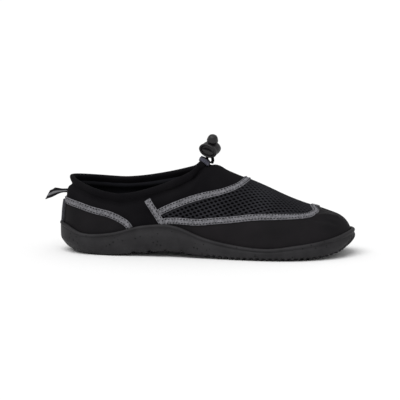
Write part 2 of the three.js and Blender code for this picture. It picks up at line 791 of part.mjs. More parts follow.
const grayTape = ['#606064', 0.8];
const blackPlastic = ['#2a292b', 0.45];
addPiece('outsole', outsoleGeometry(), '#2c2c30', 0.7);
addPiece('insole', insoleGeometry(), '#1b1b1e', 0.9);
addPiece('upper', upperGeometry(), '#141417', 0.85);
addPiece('collar_band', collarGeometry(), '#1a1a1d', 0.85);
addPiece('heel_tape', heelTape(), ...grayTape);
addPiece('heel_strip', heelStrip(), '#1d1d20', 0.8);
addPiece('side_tape_outer', layTape(outerPlaces(sideTapeRoute), 8), ...grayTape);
addPiece('side_tape_inner', layTape(innerPlaces(sideTapeRoute), 8), ...grayTape);
addPiece('vamp_tape', layTape(overTheVamp(vampTapeRoute), 40), ...grayTape);
addPiece('toe_tape', layTape(overTheVamp(toeTapeRoute), 60), ...grayTape);
addPiece('pull_loop', pullLoopGeometry(), '#1a1a1c', 0.85);
addPiece('lock_body', lockBodyGeometry(), ...blackPlastic);
addPiece('lock_button', lockButtonGeometry(), ...blackPlastic);
addPiece('drawcord_outer', cordGeometry(-1), '#18181a', 0.9);
addPiece('drawcord_inner', cordGeometry(1), '#18181a', 0.9);
addPiece('cord_end', capGeometry(), ...blackPlastic);
addPiece('cord_guide_outer', guideGeometry(-1), ...grayTape);
addPiece('cord_guide_inner', guideGeometry(1), ...grayTape);

// The origin is the middle of the shoe's box, on the ground
const middle = new THREE.Box3().setFromObject(shoe).getCenter(new THREE.Vector3());
shoe.position.set(-middle.x, -middle.y, 0);

export default shoe;
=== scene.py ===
import bpy
import bmesh
import math
import numpy as np
from mathutils import Matrix, Vector


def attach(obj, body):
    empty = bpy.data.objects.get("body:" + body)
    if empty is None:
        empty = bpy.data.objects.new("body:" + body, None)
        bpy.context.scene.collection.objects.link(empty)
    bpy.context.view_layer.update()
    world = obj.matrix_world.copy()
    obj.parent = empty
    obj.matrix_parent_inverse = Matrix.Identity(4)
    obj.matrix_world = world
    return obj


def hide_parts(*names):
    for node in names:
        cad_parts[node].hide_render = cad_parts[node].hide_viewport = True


# A slip-on water shoe for the right foot. Shapes are worked out in millimetres from the back of
# the heel, as the solids are, and put into metres round the middle of the shoe at the end.
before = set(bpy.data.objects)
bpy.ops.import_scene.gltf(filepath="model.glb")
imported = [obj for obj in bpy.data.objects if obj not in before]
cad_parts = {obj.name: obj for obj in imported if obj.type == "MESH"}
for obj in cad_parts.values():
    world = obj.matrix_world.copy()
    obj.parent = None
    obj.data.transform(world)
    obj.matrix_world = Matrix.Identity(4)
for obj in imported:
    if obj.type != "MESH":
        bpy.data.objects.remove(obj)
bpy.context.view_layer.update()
middle = np.array([137.65, -1.12, 0.0])

# The last, as the solids have it
shoe_length, ball_width, throat_height, back_height = 290.0, 104.0, 90.9, 74.0
outer_rim, inner_rim = 59.2, 69.5
throat_along, throat_share, rim_dip_start, rim_back_along = 140.0, 0.4823, 62.0, 12.0
throat_slope, rim_sweep, rim_fall, throat_run, throat_turn = 0.5, 1.6, 1.5, 10.0, 6.2
cup_wall, heel_floor, side_height, arch_lift, toe_spring, edge_tuck = 3.5, 12.0, 32.0, 5.0, 9.0, 14.0
upper_wall, collar_band, collar_proud, fit = 2.2, 7.5, 1.5, 0.3
last_inset = cup_wall + fit
last_length = shoe_length - 2 * last_inset
last_width = ball_width - 2 * last_inset

columns = ("along", "outer", "inner", "ridge_along", "ridge_side", "ridge", "turn", "power",
           "floor", "arch", "spring", "edge", "tuck")
sections = np.array([
    [0.000, 0.000, 0.000, 0.138, 0.00, 1.104, 1.00, 2.20, 1.00, 0.0, 0.00, 0.90, 1.00],
    [0.025, -0.175, 0.175, 0.150, 0.00, 1.104, 0.90, 2.20, 1.00, 0.0, 0.00, 0.84, 0.90],
    [0.085, -0.295, 0.290, 0.175, 0.00, 1.113, 0.50, 2.20, 1.00, 0.0, 0.00, 0.64, 0.50],
    [0.180, -0.335, 0.315, 0.235, 0.00, 1.123, 0.10, 2.10, 1.00, 0.0, 0.00, 0.69, 0.16],
    [0.290, -0.350, 0.300, 0.312, 0.00, 1.118, 0.00, 2.00, 0.95, 0.7, 0.00, 0.93, 0.13],
    [0.400, -0.375, 0.285, 0.400, 0.00, 1.084, 0.00, 1.90, 0.90, 1.0, 0.00, 0.95, 0.13],
    [0.510, -0.425, 0.325, 0.486, 0.01, 0.997, 0.00, 1.80, 0.80, 0.4, 0.00, 0.62, 0.13],
    [0.620, -0.475, 0.410, 0.582, 0.03, 0.864, 0.00, 1.85, 0.70, 0.0, 0.00, 0.43, 0.13],
    [0.720, -0.505, 0.470, 0.677, 0.05, 0.741, 0.00, 2.00, 0.66, 0.0, 0.00, 0.36, 0.13],
    [0.810, -0.485, 0.480, 0.766, 0.07, 0.613, 0.00, 2.10, 0.66, 0.0, 0.00, 0.44, 0.14],
    [0.890, -0.405, 0.430, 0.842, 0.08, 0.517, 0.15, 2.15, 0.66, 0.0, 0.12, 0.53, 0.22],
    [0.955, -0.265, 0.345, 0.887, 0.08, 0.478, 0.50, 2.15, 0.68, 0.0, 0.45, 0.64, 0.35],
    [0.990, -0.080, 0.215, 0.908, 0.08, 0.447, 0.90, 2.10, 0.70, 0.0, 0.85, 0.74, 0.48],
    [1.000, 0.070, 0.070, 0.914, 0.07, 0.438, 1.00, 2.00, 0.70, 0.0, 1.00, 0.77, 0.51],
])
toe = len(sections) - 1
ring_length = 2 * toe
table = {name: np.concatenate([sections[:, i], sections[-2:0:-1, i]])
         for i, name in enumerate(columns)}
table["side"] = np.concatenate([sections[:, 1], sections[-2:0:-1, 2]])


def spline(a, b, c, d, f):
    """The smooth curve from b to c at share f, led by its neighbours a and d."""
    return b + 0.5 * ((c - a) * f + (2 * a - 5 * b + 4 * c - d) * f ** 2
                      + (3 * (b - c) + d - a) * f ** 3)


def blend(name, ring):
    """A column of the sections at any place of the ring, heel 0, toe 13, inner side after it."""
    ring = np.asarray(ring, float)
    index = np.floor(ring).astype(int)
    neighbours = (table[name][(index + step) % ring_length] for step in (-1, 0, 1, 2))
    return spline(*neighbours, ring - index)


def stack(*parts):
    return np.stack(np.broadcast_arrays(*parts), -1)


def unit(v):
    return v / np.maximum(np.linalg.norm(v, axis=-1, keepdims=True), 1e-9)


def run_length(points):
    """Length so far along a line of points."""
    return np.concatenate([[0], np.cumsum(np.linalg.norm(np.diff(points, axis=0), axis=1))])


def smooth_path(points, count):
    """A smooth open curve through the points, with its courses and its length so far."""
    points = np.asarray(points, float)
    ends = np.vstack([2 * points[0] - points[1], points, 2 * points[-1] - points[-2]])
    s = np.linspace(0, len(points) - 1, count)
    i = np.minimum(s.astype(int), len(points) - 2)
    line = spline(*(ends[i + k] for k in range(4)), (s - i)[:, None])
    return line, unit(np.gradient(line, axis=0)), run_length(line)


def both_sides(half):
    """Ring places of the outer side, heel to toe, and back along the inner side."""
    return np.concatenate([half, ring_length - half[-2:0:-1]])


def sole_lift(ring):
    arch = arch_lift * np.maximum(0, blend("arch", ring))
    return arch + toe_spring * np.maximum(0, blend("spring", ring))


def sole_edge(ring):
    return side_height * blend("edge", ring)


def feather(ring):
    return stack(last_inset + last_length * blend("along", ring),
                 last_width * blend("side", ring),
                 sole_lift(ring) + heel_floor * blend("floor", ring) + fit)


def ridge(ring):
    share = blend("ridge_along", ring)
    front = throat_along - last_inset
    ahead = front + (last_length - front) * (share - throat_share) / (1 - throat_share)
    x = np.where(share < throat_share, front * share / throat_share, ahead)
    return stack(last_inset + x, last_width * blend("ridge_side", ring),
                 throat_height * blend("ridge", ring))


def last_point(ring, up):
    """A point of the last: up is 0 at the feather line, 1 on the ridge, past 1 down again."""
    ring, up = np.broadcast_arrays(np.asarray(ring, float), np.asarray(up, float))
    over = up > 1
    ring, up = np.where(over, ring_length - ring, ring), np.where(over, 2 - up, up)
    power = 2 / blend("power", ring)
    out = np.maximum(0, np.cos(up * math.pi / 2)) ** power
    rise = np.maximum(0, np.sin(up * math.pi / 2)) ** power
    turn = blend("turn", ring)
    foot, top = feather(ring), ridge(ring)
    shares = stack(turn * (1 - out) + (1 - turn) * rise, 1 - out, rise)
    return foot + (top - foot) * shares


def last_normal(ring, up):
    ring, up = np.broadcast_arrays(np.asarray(ring, float), np.asarray(up, float))
    low = np.maximum(0, up - 0.004)
    along = last_point(ring + 0.02, up) - last_point(ring - 0.02, up)
    upward = last_point(ring, low + 0.008) - last_point(ring, low)
    normal = np.cross(along, upward)
    along_ridge = ridge(ring + 0.02) - ridge(ring - 0.02)
    level = np.cross(along_ridge, np.array([0.0, 1.0, 0.0]))
    level = level * np.where(level[..., 2:] < 0, -1, 1)
    return unit(np.where((np.abs(up - 1) < 0.004)[..., None], level, normal))


def up_at_height(ring, height):
    foot = feather(ring)[..., 2]
    share = np.clip((height - foot) / (ridge(ring)[..., 2] - foot), 0, 1)
    return 2 / math.pi * np.arcsin(share ** (blend("power", ring) / 2))


def collar_height(x, outer):
    rim = np.where(outer, outer_rim, inner_rim)
    back = np.maximum(0, (rim_dip_start - x) / (rim_dip_start - rim_back_along)) ** rim_fall
    front = np.maximum(0, (x - rim_dip_start) / (throat_along - rim_dip_start)) ** rim_sweep
    turn = np.maximum(0, 1 - (throat_along - x) / throat_run) ** 2
    shoulder = throat_height - throat_turn
    low = rim + (back_height - rim) * back + (shoulder - rim) * front + throat_turn * turn
    return np.where(x > throat_along, throat_height + throat_slope * (x - throat_along), low)


def bisect(low, high, is_above, turns=40):
    low, high = np.broadcast_arrays(np.asarray(low, float), np.asarray(high, float))
    for _ in range(turns):
        half = (low + high) / 2
        above = is_above(half)
        low, high = np.where(above, low, half), np.where(above, half, high)
    return (low + high) / 2


def collar_up(ring, drop):
    """Where a rib meets the collar line lowered by drop, or 1 where it stays below it."""
    ring = np.asarray(ring, float)
    outer = ring % ring_length <= toe

    def above(up):
        point = last_point(ring, up)
        return point[..., 2] > collar_height(point[..., 0], outer) - drop

    tries = np.linspace(0, 1, 97)[1:]
    hits = np.stack([above(np.full(ring.shape, t)) for t in tries])
    first = hits.argmax(0)
    found = bisect(tries[first] - tries[0], tries[first], above)
    return np.where(hits.any(0), found, 1.0)


def throat_station(drop):
    def above(ring):
        point = ridge(ring)
        return point[..., 2] < collar_height(point[..., 0], True) - drop
    return float(bisect(4.0, 9.0, above))


def ring_at(along, up):
    """The rib on which a place lies, from its share of the last's length."""
    x = last_inset + along * last_length
    return float(bisect(0.0, float(toe), lambda ring: last_point(ring, up)[..., 0] > x))


# Soft troughs and ridges of the upper
# Each is a line of places (share of the length, up the rib) on one side of the shoe, with its
# height in mm, a trough below nought, and its half width in mm.
folds = [
    # seam that runs down from the front of the opening
    ("outer", [(0.497, 0.80), (0.482, 0.66), (0.463, 0.58)], -0.75, 1.3),
    ("outer", [(0.503, 0.76), (0.489, 0.64), (0.470, 0.55)], 0.35, 1.8),
    # loose quarter under the collar
    ("outer", [(0.20, 0.42), (0.28, 0.39), (0.35, 0.41), (0.42, 0.47)], -0.9, 5.0),
    ("outer", [(0.24, 0.31), (0.31, 0.30), (0.38, 0.34), (0.45, 0.44)], 0.8, 5.5),
    ("outer", [(0.40, 0.52), (0.45, 0.60), (0.49, 0.72)], -0.9, 3.5),
    ("outer", [(0.43, 0.40), (0.48, 0.50), (0.53, 0.62)], 0.6, 4.5),
    # heel, where the counter ends
    ("outer", [(0.05, 0.46), (0.09, 0.40), (0.14, 0.36)], -0.7, 4.0),
    ("outer", [(0.16, 0.10), (0.19, 0.13), (0.21, 0.17)], -0.5, 4.0),
    # toe, in front of the tape
    ("outer", [(0.88, 0.62), (0.915, 0.66), (0.95, 0.60)], 1.2, 2.4),
    ("outer", [(0.87, 0.53), (0.90, 0.50), (0.94, 0.44)], -0.9, 3.2),
    ("outer", [(0.60, 0.10), (0.68, 0.13), (0.76, 0.16)], -0.5, 6.0),
    ("inner", [(0.497, 0.80), (0.482, 0.66), (0.463, 0.58)], -0.75, 1.3),
    ("inner", [(0.22, 0.42), (0.30, 0.38), (0.38, 0.42), (0.45, 0.52)], -0.9, 5.0),
    ("inner", [(0.26, 0.28), (0.34, 0.27), (0.42, 0.34)], 0.8, 5.5),
    ("inner", [(0.88, 0.60), (0.92, 0.64), (0.95, 0.58)], 0.6, 2.6),
]


def place_on(side, along, up):
    ring = ring_at(along, up)
    return last_point(ring if side == "outer" else ring_length - ring, up)


# Round the opening the cloth dips under the band and swells again below: height in mm, place
# below the rim and half width
collar_folds = [(-2.3, 8.8, 2.8), (0.8, 17.0, 4.2)]

fold_lines = [(np.array([place_on(side, *p) for p in places]), height, width)
              for side, places, height, width in folds]


def line_distance(points, line):
    best = np.full(points.shape[:-1], 1e9)
    for a, b in zip(line, line[1:]):
        along = b - a
        t = np.clip(((points - a) @ along) / (along @ along), 0, 1)
        best = np.minimum(best, np.linalg.norm(points - a - t[..., None] * along, axis=-1))
    return best


def relief(points):
    """Height of the folds over the last, in mm."""
    height = np.zeros(points.shape[:-1])
    for line, tall, wide in fold_lines:
        height += tall * np.exp(-(line_distance(points, line) / wide) ** 2)
    outer = points[..., 1] < 0
    below = collar_height(points[..., 0], outer) - points[..., 2]
    for tall, low, wide in collar_folds:
        height += tall * np.exp(-((below - low) / wide) ** 2)
    x, y, z = points[..., 0], points[..., 1], points[..., 2]
    height += 0.22 * np.sin(x / 9.0 + 1.3 * np.sin(z / 11.0)) * np.sin(z / 7.5 + y / 13.0)
    return height


def skin(ring, up, offset):
    """A point over the last with the upper's folds, offset in mm outwards."""
    base = last_point(ring, up)
    lifted = np.asarray(offset, float) + relief(base)
    return base + last_normal(ring, up) * lifted[..., None]


# Meshes and materials
def grid_faces(rows, cols, wrap_rows=False, wrap_cols=False, start=0):
    i = np.arange(rows if wrap_rows else rows - 1)
    j = np.arange(cols if wrap_cols else cols - 1)
    i, j = np.meshgrid(i, j, indexing="ij")
    ni, nj = (i + 1) % rows, (j + 1) % cols
    return (np.stack([i * cols + j, ni * cols + j, ni * cols + nj, i * cols + nj], -1)
            .reshape(-1, 4) + start)


def tube_faces(rows, turns):
    """Faces of a tube of rows of points, with a cap on each end."""
    faces = grid_faces(rows, turns, wrap_cols=True).tolist()
    return faces + [list(range(turns)), [(rows - 1) * turns + k for k in reversed(range(turns))]]


def bridge(outer, inner, count):
    """Rows of points straight across from the outer side's points to the inner side's."""
    share = np.linspace(0, 1, count)
    return outer[:, None] + (inner - outer)[:, None] * share[None, :, None]


def linked(name, data):
    obj = bpy.data.objects.new(name, data)
    bpy.context.scene.collection.objects.link(obj)
    return obj


def piece(name, points, faces, materials, uv=None, kinds=None, merge=0.01, smooth=True):
    """One mesh object from points in mm, with its doubles merged and its faces outward."""
    mesh = bpy.data.meshes.new(name)
    verts = (np.asarray(points, float).reshape(-1, 3) - middle) / 1000
    mesh.from_pydata(verts.tolist(), [], [list(map(int, f)) for f in faces])
    if uv is not None:
        layer = mesh.uv_layers.new(name="UVMap")
        loops = np.empty(len(mesh.loops), int)
        mesh.loops.foreach_get("vertex_index", loops)
        layer.data.foreach_set("uv", np.asarray(uv, float).reshape(-1, 2)[loops].ravel())
    for material in materials:
        mesh.materials.append(material)
    if kinds is not None:
        mesh.polygons.foreach_set("material_index", np.asarray(kinds, np.int32))
    obj = linked(name, mesh)
    bm = bmesh.new()
    bm.from_mesh(mesh)
    bmesh.ops.remove_doubles(bm, verts=bm.verts, dist=merge / 1000)
    bmesh.ops.recalc_face_normals(bm, faces=bm.faces)
    for face in bm.faces:
        face.smooth = smooth
    bm.to_mesh(mesh)
    bm.free()
    return obj


def srgb(code):
    parts = [int(code[i:i + 2], 16) / 255 for i in (1, 3, 5)]
    linear = [p / 12.92 if p <= 0.04045 else ((p + 0.055) / 1.055) ** 2.4 for p in parts]
    return tuple(linear) + (1.0,)


def node(owner, kind, settings=None, **links):
    """Adds a node to a material or a tree; links give its sockets a value or an output."""
    tree = owner.node_tree if isinstance(owner, bpy.types.Material) else owner
    made = tree.nodes.new(kind)
    for key, value in (settings or {}).items():
        setattr(made, key, value)
    for key, value in links.items():
        numbered = key[1:].isdigit()
        socket = made.inputs[int(key[1:]) if numbered else key.replace("_", " ")]
        if isinstance(value, bpy.types.NodeSocket):
            tree.links.new(value, socket)
        else:
            socket.default_value = value
    return made


def math_node(material, operation, *values):
    return node(material, "ShaderNodeMath", {"operation": operation},
                **{f"i{k}": value for k, value in enumerate(values)}).outputs[0]


def noise(material, where, scale, **more):
    made = node(material, "ShaderNodeTexNoise", Vector=where, Scale=scale, **more)
    return made.outputs["Fac"]


def waves(material, where, pitch_mm, direction="X"):
    """Bands a pitch apart: at scale 1 the texture's phase turns by 20 radians a metre."""
    made = node(material, "ShaderNodeTexWave", {"bands_direction": direction}, Vector=where,
                Scale=1000 * 2 * math.pi / 20 / pitch_mm)
    return made.outputs["Fac"]


def surface(name, **values):
    material = bpy.data.materials.new(name)
    material.use_nodes = True
    shader = material.node_tree.nodes["Principled BSDF"]
    for key, value in values.items():
        shader.inputs[key.replace("_", " ")].default_value = value
    return material, shader


def base_ramp(material, shader, factor, stops):
    """Colours the surface by a factor, from places and their colours."""
    made = node(material, "ShaderNodeValToRGB", Fac=factor)
    elements = made.color_ramp.elements
    while len(elements) < len(stops):
        elements.new(0.5)
    for element, (at, color) in zip(elements, stops):
        element.position = at
        element.color = color
    material.node_tree.links.new(made.outputs["Color"], shader.inputs["Base Color"])
    return made.outputs["Color"]


def bump(material, shader, height, strength, distance_mm):
    made = node(material, "ShaderNodeBump", Height=height, Strength=strength,
                Distance=distance_mm / 1000)
    material.node_tree.links.new(made.outputs["Normal"], shader.inputs["Normal"])


def place(material, kind="Object"):
    return node(material, "ShaderNodeTexCoord").outputs[kind]


def knit_fabric(name, color, lighter, roughness, thread_mm, depth):
    """Knitted cloth on foam rubber: matt, with a fine knit grain and faint patches."""
    material, shader = surface(name, Roughness=roughness, Specular_IOR_Level=0.06)
    where = place(material)
    base_ramp(material, shader, noise(material, where, 28.0, Detail=3.0),
              [(0.35, color), (0.7, lighter)])
    knit = node(material, "ShaderNodeTexVoronoi", Vector=where, Scale=1000 / thread_mm)
    height = math_node(material, "MULTIPLY_ADD", knit.outputs["Distance"], 0.8,
                       noise(material, where, 420.0))
    bump(material, shader, height, depth, 0.25)
    return material


# Polyester-faced neoprene of the quarters, vamp and collar: dull, with hardly a highlight
neoprene = knit_fabric("neoprene_jersey", srgb("#0c0b0e"), srgb("#141315"), 0.9, 0.9, 0.35)
# Smooth coated synthetic of the mudguard and the heel counter: tighter and slightly shinier
coated = knit_fabric("coated_synthetic", srgb("#151416"), srgb("#1d1b1d"), 0.62, 1.2, 0.22)
# Brushed lining inside, and the black foam layer seen through the mesh, painted darker than the
# cloth as the shade inside the holes
lining = knit_fabric("brushed_lining", srgb("#161619"), srgb("#1c1c20"), 0.95, 1.1, 0.3)
backing_and_hole_shade = knit_fabric("mesh_backing", srgb("#020203"), srgb("#040405"), 0.95, 1.0, 0.2)
# Knitted mesh: round open holes between stout strands
strands = knit_fabric("knitted_mesh", srgb("#212124"), srgb("#2c2c30"), 0.8, 0.6, 0.4)
# Foam insole with a glued fabric face
insole_cloth = knit_fabric("insole_cloth", srgb("#141417"), srgb("#1b1b1f"), 0.92, 1.4, 0.4)


def woven_tape(name, dark, light):
    """Flat polyester tape: dull, with a mottled weave, its threads about 0.9 mm wide."""
    mottle_mm, weave_mm = 0.8, 1.78
    material, shader = surface(name, Roughness=0.82, Specular_IOR_Level=0.1)
    uv = place(material, "UV")
    base_ramp(material, shader, noise(material, place(material), 500 / mottle_mm, Roughness=0.7),
              [(0.38, dark), (0.62, light)])
    weave = math_node(material, "MULTIPLY", waves(material, uv, weave_mm),
                      waves(material, uv, weave_mm, "Y"))
    bump(material, shader, weave, 0.5, 0.3)
    return material


gray_tape = woven_tape("gray_woven_tape", srgb("#525255"), srgb("#7e7d82"))
guide_tape = woven_tape("guide_tape", srgb("#40404a"), srgb("#52525c"))


def loop_webbing():
    """Black webbing with a lighter stripe down its middle; UV runs across in V, 0 to 1."""
    material, shader = surface("striped_webbing", Roughness=0.85, Specular_IOR_Level=0.08)
    uv = place(material, "UV")
    parts = node(material, "ShaderNodeSeparateXYZ", Vector=uv)
    edge, body, stripe = srgb("#141416"), srgb("#19191b"), (srgb("#68686b"), srgb("#747477"))
    base_ramp(material, shader, parts.outputs["Y"], [
        (0.0, edge), (0.33, body), (0.37, stripe[0]), (0.63, stripe[1]), (0.67, body), (1.0, edge)])
    scaled = node(material, "ShaderNodeMapping", Vector=uv, Scale=(1.0, 0.009, 1.0))
    ribs = waves(material, scaled.outputs[0], 2.17, "DIAGONAL")
    bump(material, shader, ribs, 0.5, 0.25)
    return material


webbing = loop_webbing()
strip_webbing = woven_tape("back_strip_webbing", srgb("#333337"), srgb("#434348"))

# Bonded polyester sewing thread, dark against the gray tape
thread, _ = surface("sewing_thread", Base_Color=srgb("#0c0c0e"), Roughness=0.7,
                    Specular_IOR_Level=0.1)


def moulded_rubber():
    """Compression-moulded rubber: charcoal, half matt, with a grained face and small pits, painted
    near black as the shade in them.
    """
    pit_pitch_mm = 4.2
    material, shader = surface("moulded_rubber", Roughness=0.62, Specular_IOR_Level=0.2)
    where = place(material)
    base = base_ramp(material, shader, noise(material, where, 60.0, Detail=4.0),
                     [(0.3, srgb("#1c1b1d")), (0.7, srgb("#2b2a2c"))])
    cells = node(material, "ShaderNodeTexVoronoi", Vector=where, Scale=1000 / pit_pitch_mm)
    spot = math_node(material, "LESS_THAN", cells.outputs["Distance"], 0.2)
    some = math_node(material, "GREATER_THAN", noise(material, where, 90.0), 0.52)
    pit_and_painted_shade = math_node(material, "MULTIPLY", spot, some)
    # The pits are painted near black: painted shade in the recesses that the bump below sinks
    colour_with_pit_shade = node(material, "ShaderNodeMix", {"data_type": "RGBA"}, i0=pit_and_painted_shade, i6=base,
                 i7=srgb("#0c0c0d"))
    material.node_tree.links.new(colour_with_pit_shade.outputs[2], shader.inputs["Base Color"])
    deep = math_node(material, "MULTIPLY_ADD", pit_and_painted_shade, -1.0, noise(material, where, 700.0))
    bump(material, shader, deep, 0.45, 0.35)
    return material


rubber = moulded_rubber()


def moulded_plastic():
    """Injection-moulded nylon: dark warm gray, satin, with a faint spark-eroded grain."""
    material, shader = surface("moulded_nylon", Base_Color=srgb("#1b191b"), Roughness=0.42,
                               Specular_IOR_Level=0.35)
    bump(material, shader, noise(material, place(material), 900.0), 0.15, 0.15)
    return material


plastic = moulded_plastic()


def braided_cord():
    """Elastic cord in a braided polyester sleeve, its strands about 1 mm wide."""
    material, shader = surface("braided_cord", Base_Color=srgb("#0e0e10"), Roughness=0.85,
                               Specular_IOR_Level=0.08)
    uv = place(material, "UV")
    turned = [node(material, "ShaderNodeMapping", Vector=uv, Rotation=(0, 0, angle)).outputs[0]
              for angle in (math.pi / 4, -math.pi / 4)]
    braid = math_node(material, "MAXIMUM", *(waves(material, way, 2.17) for way in turned))
    bump(material, shader, braid, 0.6, 0.3)
    return material


cord_cloth = braided_cord()


# Upper. A tape's route is a list of places (share of the length, up the rib) on the outer side.
heel_tape_route = [(0.022, 0.252), (0.06, 0.235), (0.12, 0.202), (0.187, 0.176),
                   (0.235, 0.125), (0.25, 0.085)]
side_tape_route = [(0.308, 0.298), (0.336, 0.208), (0.364, 0.118)]
vamp_tape_route = [(0.346, 0.203), (0.363, 0.226), (0.41, 0.29), (0.478, 0.40), (0.556, 0.527),
                   (0.613, 0.69), (0.638, 0.90)]
toe_tape_route = [(0.364, 0.140), (0.384, 0.15), (0.469, 0.187), (0.548, 0.248), (0.63, 0.312),
                  (0.725, 0.39), (0.80, 0.483), (0.842, 0.56), (0.868, 0.66), (0.878, 0.78),
                  (0.869, 0.93)]


def places_of(route):
    return [(ring_at(along, up), up) for along, up in route]


def over_vamp(route):
    near = places_of(route)
    return near + [(ring, 2 - up) for ring, up in reversed(near)]


def on_inner(route):
    return [(ring_length - ring, up) for ring, up in places_of(route)]


def smooth_line(points, count):
    """Centripetal curve through the points, resampled evenly by its length on the shoe."""
    p = np.array([(ring, up * toe) for ring, up in points])
    p = np.vstack([2 * p[0] - p[1], p, 2 * p[-1] - p[-2]])
    dense = []
    for k in range(1, len(p) - 2):
        knots = [0.0]
        for a, b in zip(p[k - 1:k + 2], p[k:k + 3]):
            knots.append(knots[-1] + max(np.linalg.norm(b - a), 1e-6) ** 0.5)
        t = np.linspace(knots[1], knots[2], 60)[:, None]

        def mix(a, b, start, end):
            return (a * (end - t) + b * (t - start)) / (end - start)

        a1 = mix(p[k - 1], p[k], knots[0], knots[1])
        a2 = mix(p[k], p[k + 1], knots[1], knots[2])
        a3 = mix(p[k + 1], p[k + 2], knots[2], knots[3])
        b1 = mix(a1, a2, knots[0], knots[2])
        b2 = mix(a2, a3, knots[1], knots[3])
        dense.append(mix(b1, b2, knots[1], knots[2]))
    dense = np.vstack(dense)
    at = last_point(dense[:, 0], dense[:, 1] / toe)
    length = run_length(at)
    even = np.linspace(0, length[-1], count)
    line = np.stack([np.interp(even, length, dense[:, i]) for i in range(2)], -1)
    return line[:, 0], line[:, 1] / toe, even


def across_shift(ring, up, width):
    """How far ring and up change over half a width, square to a line on the shoe."""
    course = unit(np.gradient(last_point(ring, up), axis=0))
    step_r, step_u = 0.05, 0.05 / toe
    by_ring = (last_point(ring + step_r, up) - last_point(ring - step_r, up)) / (2 * step_r)
    by_up = (last_point(ring, up + step_u) - last_point(ring, up - step_u)) / (2 * step_u)
    face = unit(np.cross(by_ring, by_up))
    across = unit(np.cross(course, face))

    def dot(a, b):
        return (a * b).sum(-1)

    e, f, g = dot(by_ring, by_ring), dot(by_ring, by_up), dot(by_up, by_up)
    p, q = dot(across, by_ring), dot(across, by_up)
    scale = width / 2 / (e * g - f * f)
    return (p * g - q * f) * scale, (q * e - p * f) * scale


tape_section = [(-1.0, -0.35), (-1.0, 0.45), (-0.93, 0.8), (-0.8, 0.95), (-0.4, 1.0), (0.0, 1.02),
                (0.4, 1.0), (0.8, 0.95), (0.93, 0.8), (1.0, 0.45), (1.0, -0.35), (0.0, -0.35)]


def ribbon(name, points, width, thick, lift, material, step_mm=2.0):
    """A tape laid over the upper along its route, with its edges turned down onto it."""
    line = smooth_line(points, 400)
    count = max(6, int(line[2][-1] / step_mm))
    ring, up, length = smooth_line(points, count)
    d_ring, d_up = across_shift(ring, up, width)
    verts, uvs = [], []
    for share, rise in tape_section:
        offset = lift + thick * rise
        verts.append(skin(ring + d_ring * share, up + d_up * share, offset))
        uvs.append(stack(length / 1000, np.full(count, share * width / 2000)))
    verts, uvs = np.stack(verts, 1), np.stack(uvs, 1)
    return piece(name, verts, tube_faces(count, len(tape_section)), [material], uv=uvs)


def inside_polygon(x, y, polygon):
    inside = np.zeros(x.shape, bool)
    for (x0, y0), (x1, y1) in zip(polygon, polygon[1:] + polygon[:1]):
        if y0 == y1:
            continue
        cross = (y0 > y) != (y1 > y)
        inside ^= cross & (x < (x1 - x0) * (y - y0) / (y1 - y0) + x0)
    return inside


def share_along(points):
    return (points[..., 0] - last_inset) / last_length


def curve_places(route):
    """A route's own smooth line as (share of the length, up), up to the ridge."""
    ring, up, _ = smooth_line(over_vamp(route), 240)
    at = last_point(ring, up)
    half = up <= 1
    return list(zip(share_along(at)[half], up[half]))


# Outlines of the mesh, the heel counter and the mudguard, along the middles of the tapes
vamp_line = curve_places(vamp_tape_route)
toe_line = curve_places(toe_tape_route)
mesh_outline = vamp_line + [(vamp_line[-1][0], 1.02), (toe_line[-1][0], 1.02)] + toe_line[::-1]
heel_ring, heel_up, _ = smooth_line(places_of(heel_tape_route), 80)
heel_line = list(zip(share_along(last_point(heel_ring, heel_up)), heel_up))
counter_outline = [(-0.1, 0.252)] + heel_line + [(0.26, -0.1), (-0.1, -0.1)]
guard_outline = toe_line + [(toe_line[-1][0], 1.02), (1.2, 1.02), (1.2, -0.1),
                            (0.36, -0.1), (0.362, 0.14)]

# The upper's stations, closest where the collar's line meets the ridge
throat_up = throat_station(collar_band)
near_throat = throat_up - np.array([0.9, 0.6, 0.38, 0.24, 0.15, 0.09, 0.05, 0.025, 0.01, 0.0])
half_stops = np.unique(np.concatenate([
    np.linspace(0, 2.0, 30), np.linspace(2.0, toe - 2.0, 112), np.linspace(toe - 2.0, toe, 34),
    near_throat, throat_up + np.array([0.01, 0.03, 0.07, 0.13])]))
ring_stops = both_sides(half_stops)


